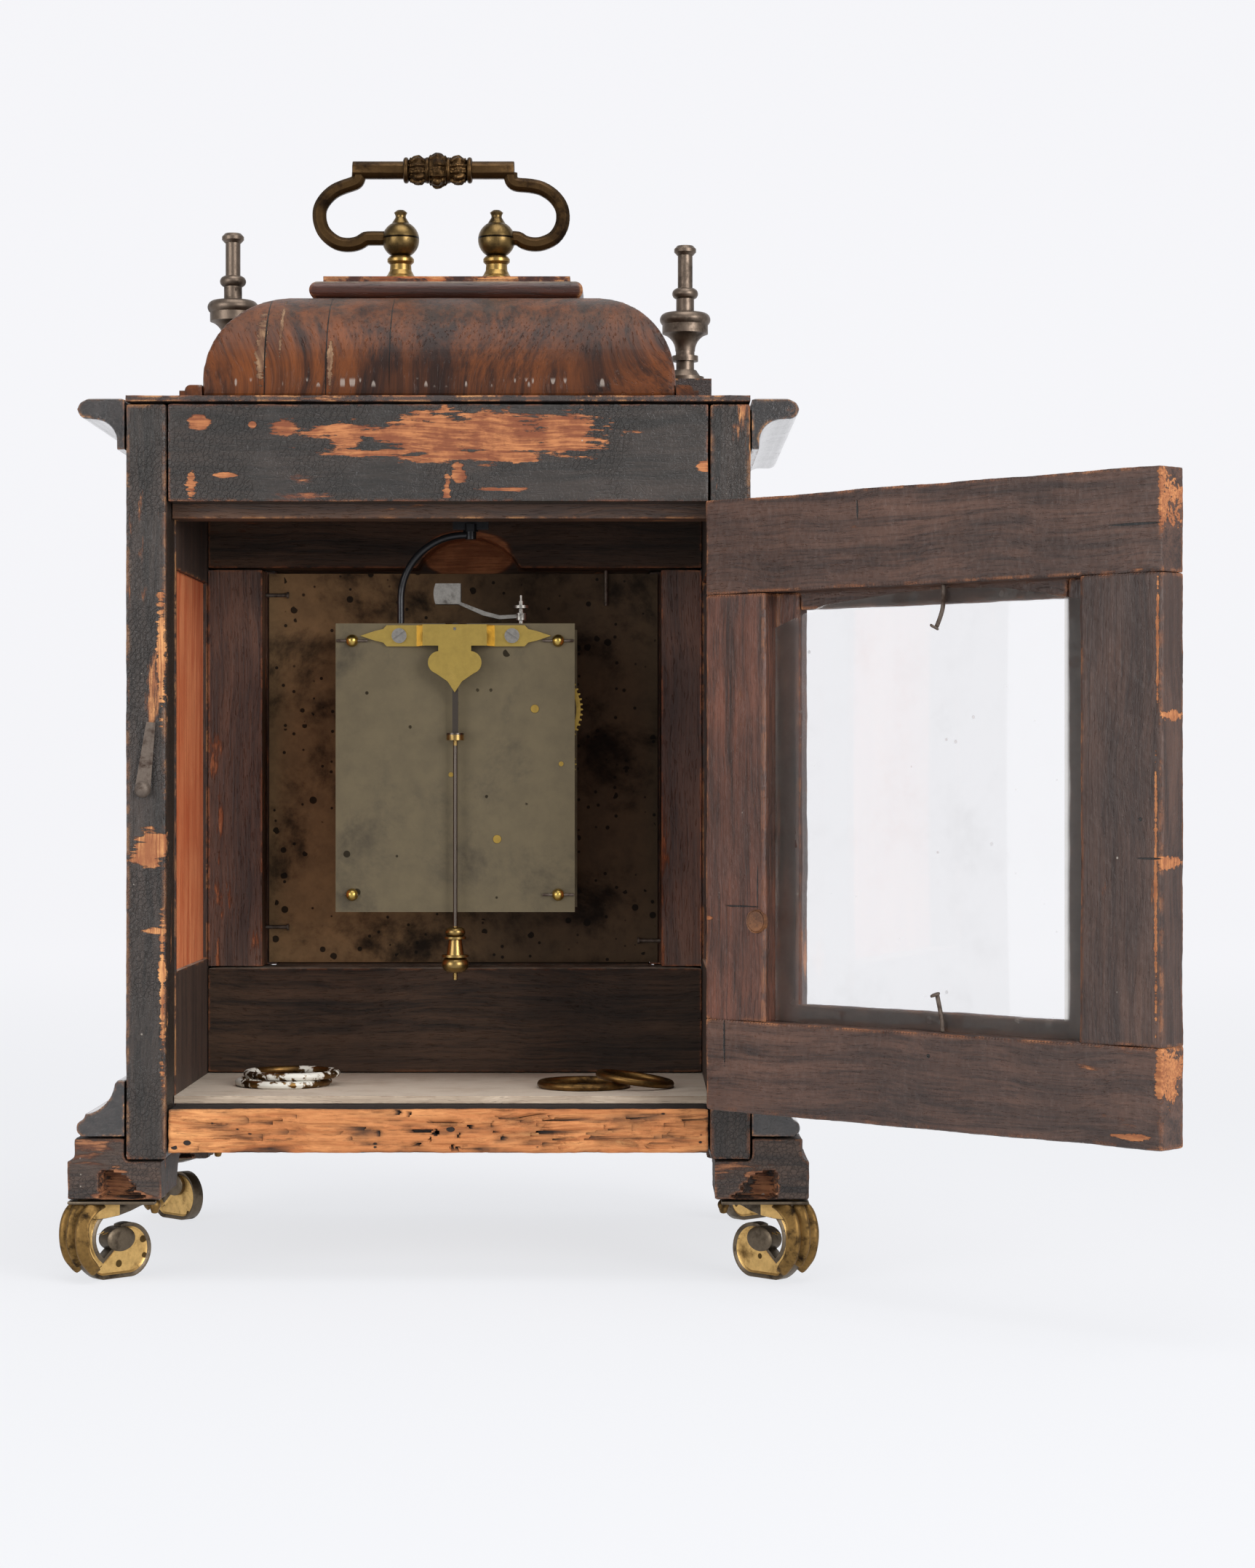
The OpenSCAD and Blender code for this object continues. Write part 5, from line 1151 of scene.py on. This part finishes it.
def foot_plate():
    """Plate under the plinth block, with a drop hanging from each inner end."""
    plate = newly(bpy.ops.mesh.primitive_plane_add, size=0.035)
    place(plate, (-0.0020, -0.0020, FOOT_TOP - 0.0014))
    modify(plate, "SOLIDIFY", thickness=0.0013, offset=1)
    modify(plate, "BEVEL", width=0.0005, segments=2)
    lay(plate, "foot_rim")
    drops = []
    for x, y in ((-0.0185, 0.0085), (0.0085, -0.0185)):
        drop = newly(bpy.ops.mesh.primitive_uv_sphere_add, segments=16, ring_count=10, radius=0.0024)
        place(drop, (x, y, FOOT_TOP - 0.0022))
        lay(drop, "leaf")
        edit(drop)
        pick(drop, lambda c, n: n.z < -0.8)
        push((0, 0, -0.0012))
        drops.append(drop)
    return join([plate] + drops)


def make_feet():
    """Four gilt scroll feet on the diagonals; one is modelled and the rest are mirrored from it."""
    turned = join([scroll(BAND_HALF), foot_web(WEB_HALF), foot_eye(BAND_HALF + 0.0005), foot_leaf()])
    place(turned, turn=(0, 0, math.radians(45)))
    foot = join([turned, foot_plate()])
    place(foot, FOOT_CENTRE)
    shift = FOOT_FRONT_Y + FOOT_CENTRE.y
    names = ("foot_rear_left", "foot_rear_right", "foot_front_left", "foot_front_right")
    for name, obj in zip(names, [foot] + [own_copy(foot) for _ in names[1:]]):
        front = "front" in name
        place(obj, (0, shift * front, 0), scale=(-1 if "right" in name else 1, -1 if front else 1, 1))
        close_up(obj)
        hand_over(obj, name, "case", "gilt_brass", "", "feet")


# Bail handle

# The bail's origin lies on its pivot line; the arms are X and Z from there, in millimetres
BAIL_X = 0.0028
BAIL_Y = 0.0205
BAIL_Z = 0.4296
KNOT_X = 0.0017
BAR_Z = 0.0287
BAR_R = 0.0039
ARM_R = 0.0031
NECK_R = 0.0044
LEFT_ARM = (
    (35.0, 27.6), (35.2, 25.3), (36.1, 23.7), (38.1, 22.8), (41.4, 21.7), (45.0, 20.1), (48.0, 17.7),
    (50.2, 14.9), (51.4, 12.1), (51.6, 9.2), (51.2, 6.4), (49.9, 3.1), (47.5, 0.3), (44.2, -1.9),
    (40.9, -2.7), (37.6, -2.6), (34.8, -1.8), (32.7, -0.5), (31.0, 0.0), (23.0, 0.0),
)
RIGHT_ARM = (
    (-28.9, 27.6), (-29.0, 25.4), (-29.9, 23.6), (-32.0, 22.6), (-36.9, 22.2), (-42.1, 21.0), (-46.8, 18.0),
    (-49.9, 14.0), (-51.0, 9.7), (-50.3, 4.8), (-47.3, 0.3), (-42.5, -2.1), (-38.3, -2.5), (-34.6, -1.6),
    (-31.9, 0.0), (-27.6, 0.0),
)


def smooth_path(points):
    """Points of a soft curve through the given ones, which are in millimetres."""
    ends = [points[0]] + list(points) + [points[-1]]
    path = []
    for i in range(1, len(ends) - 2):
        a, b, c, d = (Vector(p) for p in ends[i - 1 : i + 3])
        for t in (0.0, 1 / 3, 2 / 3):
            bend = (2 * a - 5 * b + 4 * c - d) * t * t + (3 * b - a - 3 * c + d) * t ** 3
            path.append(0.5 * (2 * b + (c - a) * t + bend))
    path.append(Vector(points[-1]))
    return [p * MM for p in path]


def half_turn(angle):
    """The same angle between -180 and 180 degrees."""
    return (angle + math.pi) % (2 * math.pi) - math.pi


def swept_bar(path, radius, start=(BAIL_X, BAIL_Y, BAIL_Z)):
    """Eight-sided bar drawn out along a path in the X-Z plane through the given point."""
    obj = newly(bpy.ops.mesh.primitive_circle_add, vertices=8, radius=radius, fill_type="NGON")
    edit(obj)
    pick_all()
    turn_about(math.radians(22.5), "Z", (0, 0, 0))
    headings = [math.atan2((b - a).y, (b - a).x) for a, b in zip(path, path[1:])]
    facing = headings[0]
    turn_about(math.radians(90) - facing, "Y", (0, 0, 0))
    push((path[0].x, 0, path[0].y))
    for i in range(1, len(path)):
        step = path[i] - path[i - 1]
        pull_out((step.x, 0, step.y))
        last = headings[min(i, len(headings) - 1)]
        wanted = headings[i - 1] + half_turn(last - headings[i - 1]) / 2
        turn_about(-half_turn(wanted - facing), "Y", (path[i].x, 0, path[i].y))
        facing = wanted
    face_outwards()
    push(start)
    soften(obj, 0.00035, 25)
    return obj


def carved_knot(x, radius, length, name, ridges):
    """Bead round the bar, cut with ridges and worn foliage."""
    obj = newly(bpy.ops.mesh.primitive_uv_sphere_add, segments=72, ring_count=36, radius=1)
    place(obj, turn=(0, math.radians(90), 0))
    place(obj, scale=(length / 2, radius, radius))
    edit(obj, "VERT")
    pick(obj, lambda c, d: abs(c.x) > length * 0.30, "VERT")
    scale_about((1, 1.16, 1.16), (0, 0, 0))

    def in_groove(c, d):
        return middle.dot(Vector((0, c.y, c.z)).normalized()) > 0.985 and abs(c.x) < length * 0.42

    for turn in range(ridges):
        heading = 2 * math.pi * turn / ridges
        middle = Vector((0, math.cos(heading), math.sin(heading)))
        pick(obj, in_groove, "VERT")
        push(tuple(-0.0009 * v for v in middle))
    modify(obj, "SMOOTH", factor=0.5, iterations=2)
    leaves = bpy.data.textures.new(name, "VORONOI")
    leaves.noise_scale = 2.4 * MM
    modify(obj, "DISPLACE", texture=leaves, strength=0.0012, mid_level=0.5)
    modify(obj, "SMOOTH", factor=0.4, iterations=1)
    place(obj, (BAIL_X + KNOT_X + x, BAIL_Y, BAIL_Z + BAR_Z))
    return obj


def neck_ring(x):
    """Flare where the bar runs into the knots."""
    sizes = {"major_radius": NECK_R, "minor_radius": 0.0011, "major_segments": 40, "minor_segments": 12}
    obj = newly(bpy.ops.mesh.primitive_torus_add, **sizes)
    place(obj, (BAIL_X + KNOT_X + x, BAIL_Y, BAIL_Z + BAR_Z), (0, math.radians(90), 0))
    return obj


def make_handle():
    """Faceted bail with a square-ended top bar, two curled arms and three carved knots."""
    bar = swept_bar([Vector((x * MM, BAR_Z)) for x in (37.6, 20.0, 0.0, -15.0, -30.5)], BAR_R)
    arms = [swept_bar(smooth_path(points), ARM_R) for points in (LEFT_ARM, RIGHT_ARM)]
    knots = [
        carved_knot(0.0, 0.0075, 0.0098, "middle_foliage", 9),
        carved_knot(0.0084, 0.0062, 0.0096, "left_foliage", 12),
        carved_knot(-0.0084, 0.0062, 0.0096, "right_foliage", 12),
    ]
    rings = [neck_ring(x) for x in (-0.0134, -0.0044, 0.0044, 0.0134)]
    bail = join([bar] + arms + knots + rings)
    close_up(bail, 38)
    hand_over(bail, "bail_handle", "handle", "bronze", "handle", "handle")


# Worn wood


def weathered(node_name, name, body, slot, finish, voxel, ease, ripple, size, fine, level=1.0):
    """A wooden piece of the part with soft edges and slightly uneven faces.

    In millimetres, voxel is the fineness of the new mesh, ripple and size are the depth and length of the
    waves, and fine is the depth of the tooth on them; ease is the rounds of smoothing, level how far all this
    lies inwards.
    """
    start_piece()
    obj = own_copy(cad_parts[node_name])
    edit(obj)
    pick_all()
    bpy.ops.mesh.remove_doubles(threshold=1e-6)
    modify(obj, "REMESH", mode="VOXEL", voxel_size=voxel * MM)
    modify(obj, "SMOOTH", factor=0.5, iterations=ease)
    roughen(obj, name + "_waves", size, ripple, level)
    roughen(obj, name + "_tooth", 2.2, fine, level)
    hand_over(obj, name, body, slot, finish, node_name)
    return obj


def roughen(obj, name, size, strength, level=1.0):
    """Moves the surface in by up to the given number of millimetres, or both ways at a level of 0.5."""
    clouds = bpy.data.textures.new(name, "CLOUDS")
    clouds.noise_scale = size * MM
    clouds.noise_depth = 3
    modify(obj, "DISPLACE", texture=clouds, strength=strength * MM, mid_level=level)


def bore_into(obj, holes, depth, narrow=0.7):
    """Sinks the faces inside each flat oval of the back face; a hole is x, z, half width and half height."""

    def inside(c, n):
        if n.y < 0.6:
            return False
        return any(((c.x - x) / a) ** 2 + ((c.z - z) / b) ** 2 < 1 for x, z, a, b in holes)

    edit(obj)
    if pick(obj, inside):
        pull_out((0, -depth / 2, 0))
        bpy.ops.transform.resize(value=(narrow, 1, narrow), use_proportional_edit=False)
        pull_out((0, -depth / 2, 0))
    start_piece()


def make_sill():
    """Bare rear rail with wavy runs eaten along the grain and worm holes."""
    chance = random.Random(7)
    squeeze = 0.13
    obj = weathered("rear_bottom_rail", "worm_eaten_sill", "case", "bare_wood", "sill", 0.8, 2, 0.5, 9.0, 0.2)
    runs = bpy.data.textures.new("sill_runs", "CLOUDS")
    runs.noise_scale = 2.2 * MM
    runs.noise_depth = 2
    place(obj, scale=(squeeze, 1, 1))
    modify(obj, "DISPLACE", texture=runs, direction="Y", strength=2.6 * MM, mid_level=0.85)
    place(obj, scale=(1 / squeeze, 1, 1))
    low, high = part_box("rear_bottom_rail")
    for depth, count, wide, tall in (
        (0.0045, 30, 0.0012, 0.0010),
        (0.0030, 22, 0.0026, 0.0008),
        (0.0018, 18, 0.0070, 0.0007),
    ):
        holes = []
        for _ in range(count):
            x = low[0] + (high[0] - low[0]) * (0.02 + 0.96 * chance.random() ** 1.25)
            z = low[2] + (high[2] - low[2]) * (0.08 + 0.84 * chance.random())
            holes.append((x, z, wide * chance.uniform(0.7, 1.4), tall * chance.uniform(0.8, 1.4)))
        bore_into(obj, holes, depth)
    modify(obj, "SMOOTH", factor=0.4, iterations=1)


# Part, name of the piece, slot, finish, then fineness, smoothing, waves, their length and tooth
CASE_WOOD = (
    ("rear_stiles", "worn_rear_stiles", "ebonised_wood", "stile", 1.1, 3, 0.6, 22.0, 0.2),
    ("rear_top_rail", "worn_top_rail", "worn_dark_wood", "top_rail", 1.1, 2, 0.5, 18.0, 0.2),
    ("cornice", "worn_cornice", "ebonised_wood", "moulding_y", 1.0, 1, 0.25, 20.0, 0.05),
    ("base_moulding", "worn_base_moulding", "ebonised_wood", "moulding_y", 1.0, 1, 0.3, 20.0, 0.06),
    ("dome", "veneered_dome", "walnut", "dome", 1.6, 4, 0.3, 30.0, 0.05),
    ("top_board", "worn_top_board", "ebonised_wood", "dark_x", 1.3, 1, 0.5, 12.0, 0.2),
    ("plinth_sides", "rotten_plinth_sides", "ebonised_wood", "plinth", 1.0, 2, 0.5, 16.0, 0.15),
)


def make_case_wood():
    """Softened copies of the case's outer pieces; the last one, the plinth, gets its rotten hollows."""
    for node_name, name, slot, finish, *shape in CASE_WOOD:
        plinth = weathered(node_name, name, "case", slot, finish, *shape)
    for side in (-1, 1):
        rot = [
            (side * 0.1290, 0.0385, 0.0062, 0.0062),
            (side * 0.1318, 0.0425, 0.0038, 0.0032),
            (side * 0.1262, 0.0350, 0.0094, 0.0018),
            (side * 0.1245, 0.0385, 0.0036, 0.0026),
        ]
        bore_into(plinth, rot, 0.0095, 0.86)
    modify(plinth, "SMOOTH", factor=0.4, iterations=1)
    roughen(plinth, "plinth_rot", 3.0, 0.35)


def make_mask():
    """The mask's uprights and rails, drawn out to the case sides so that no light comes past them."""
    for node_name, finish in (("mask_stiles", "mask_z"), ("mask_rails", "mask_x")):
        name = "worn_" + node_name
        obj = weathered(node_name, name, "case", "worn_dark_wood", finish, 1.0, 2, 0.3, 20.0, 0.08)
        low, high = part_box(node_name)
        edit(obj, "VERT")
        for side, rim in ((-1, low[0]), (1, high[0])):
            pick(obj, lambda c, d: (c.x - rim) * side > -0.0012, "VERT")
            push(((INNER_X * side - rim) * 0.93, 0, 0))
        start_piece()


def make_door_wood():
    """The back door's frame; its stiles are drawn out a little so that no light comes through the joints."""
    for node_name, name, finish in (
        ("door_rails", "worn_door_rails", "door_x"),
        ("door_hinge_stile", "worn_hinge_stile", "door_red"),
        ("door_lock_stile", "worn_lock_stile", "door_z"),
    ):
        obj = weathered(node_name, name, "back_door", "worn_dark_wood", finish, 1.0, 2, 1.1, 26.0, 0.25, 0.62)
        if finish != "door_x":
            low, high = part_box(node_name)
            edit(obj)
            pick_all()
            scale_about((1, 1, 1.007), (0, 0, (low[2] + high[2]) / 2))
            start_piece()


# The nails of the pane, as X and Z of the closed door in millimetres, from the lip to the head
NAIL_Y = 0.0860
NAILS = (
    ((7.4, 273.7), (7.3, 268.6), (6.9, 264.8), (5.6, 261.2), (4.0, 257.9)),
    ((6.9, 107.6), (6.6, 111.5), (5.5, 116.5), (4.3, 121.3)),
)


def make_door_nails():
    """Two bent nails that hold the pane, built as they lie when the door is closed."""
    parts = []
    for bends in NAILS:
        path = smooth_path(bends)
        parts.append(swept_bar(path, 0.0009, start=(0, NAIL_Y, 0)))
        head = newly(bpy.ops.mesh.primitive_cylinder_add, vertices=20, radius=0.0019, depth=0.0008)
        edit(head)
        pick(head, lambda c, n: n.z > 0.9)
        inset(0.0006, 0.0002)
        soften(head, 0.0002)
        roughen(head, "nail_head", 1.5, 0.3, 0.5)
        along = path[-1] - path[-2]
        place(head, turn=(0.3, math.atan2(along.x, along.y), 0))
        place(head, (path[-1].x, NAIL_Y - 0.0012, path[-1].y))
        parts.append(head)
    obj = join(parts)
    place(obj, -DOOR_PIN)
    place(obj, DOOR_PIN, (0, 0, DOOR_ANGLE))
    close_up(obj)
    hand_over(obj, "bent_door_nails", "back_door", "steel", "rust", "door_nails")


PLUG_SPOT = Vector((-0.080, 0.0811, 0.1463))
PLUG_R = 0.0046


def make_door_plug():
    """Round wooden plug let into the hinge stile."""
    obj = newly(bpy.ops.mesh.primitive_cylinder_add, vertices=40, radius=PLUG_R, depth=0.0022)
    edit(obj)
    pick(obj, lambda c, n: n.z > 0.9)
    inset(0.0005, -0.0004)
    inset(0.0003, 0.0004)
    start_piece()
    turned = Matrix.Rotation(DOOR_ANGLE, 3, "Z") @ (PLUG_SPOT - DOOR_PIN) + DOOR_PIN
    place(obj, turn=(math.radians(90), 0, 0))
    place(obj, turned, (0, 0, DOOR_ANGLE))
    close_up(obj)
    hand_over(obj, "hinge_stile_plug", "back_door", "worn_dark_wood", "plug")


set_camera()
set_light()
make_sweep()
make_effects()
FINISHES = all_finishes()
paint_nodes()
make_feet()
make_handle()
make_sill()
make_case_wood()
make_mask()
make_door_wood()
make_door_nails()
make_door_plug()
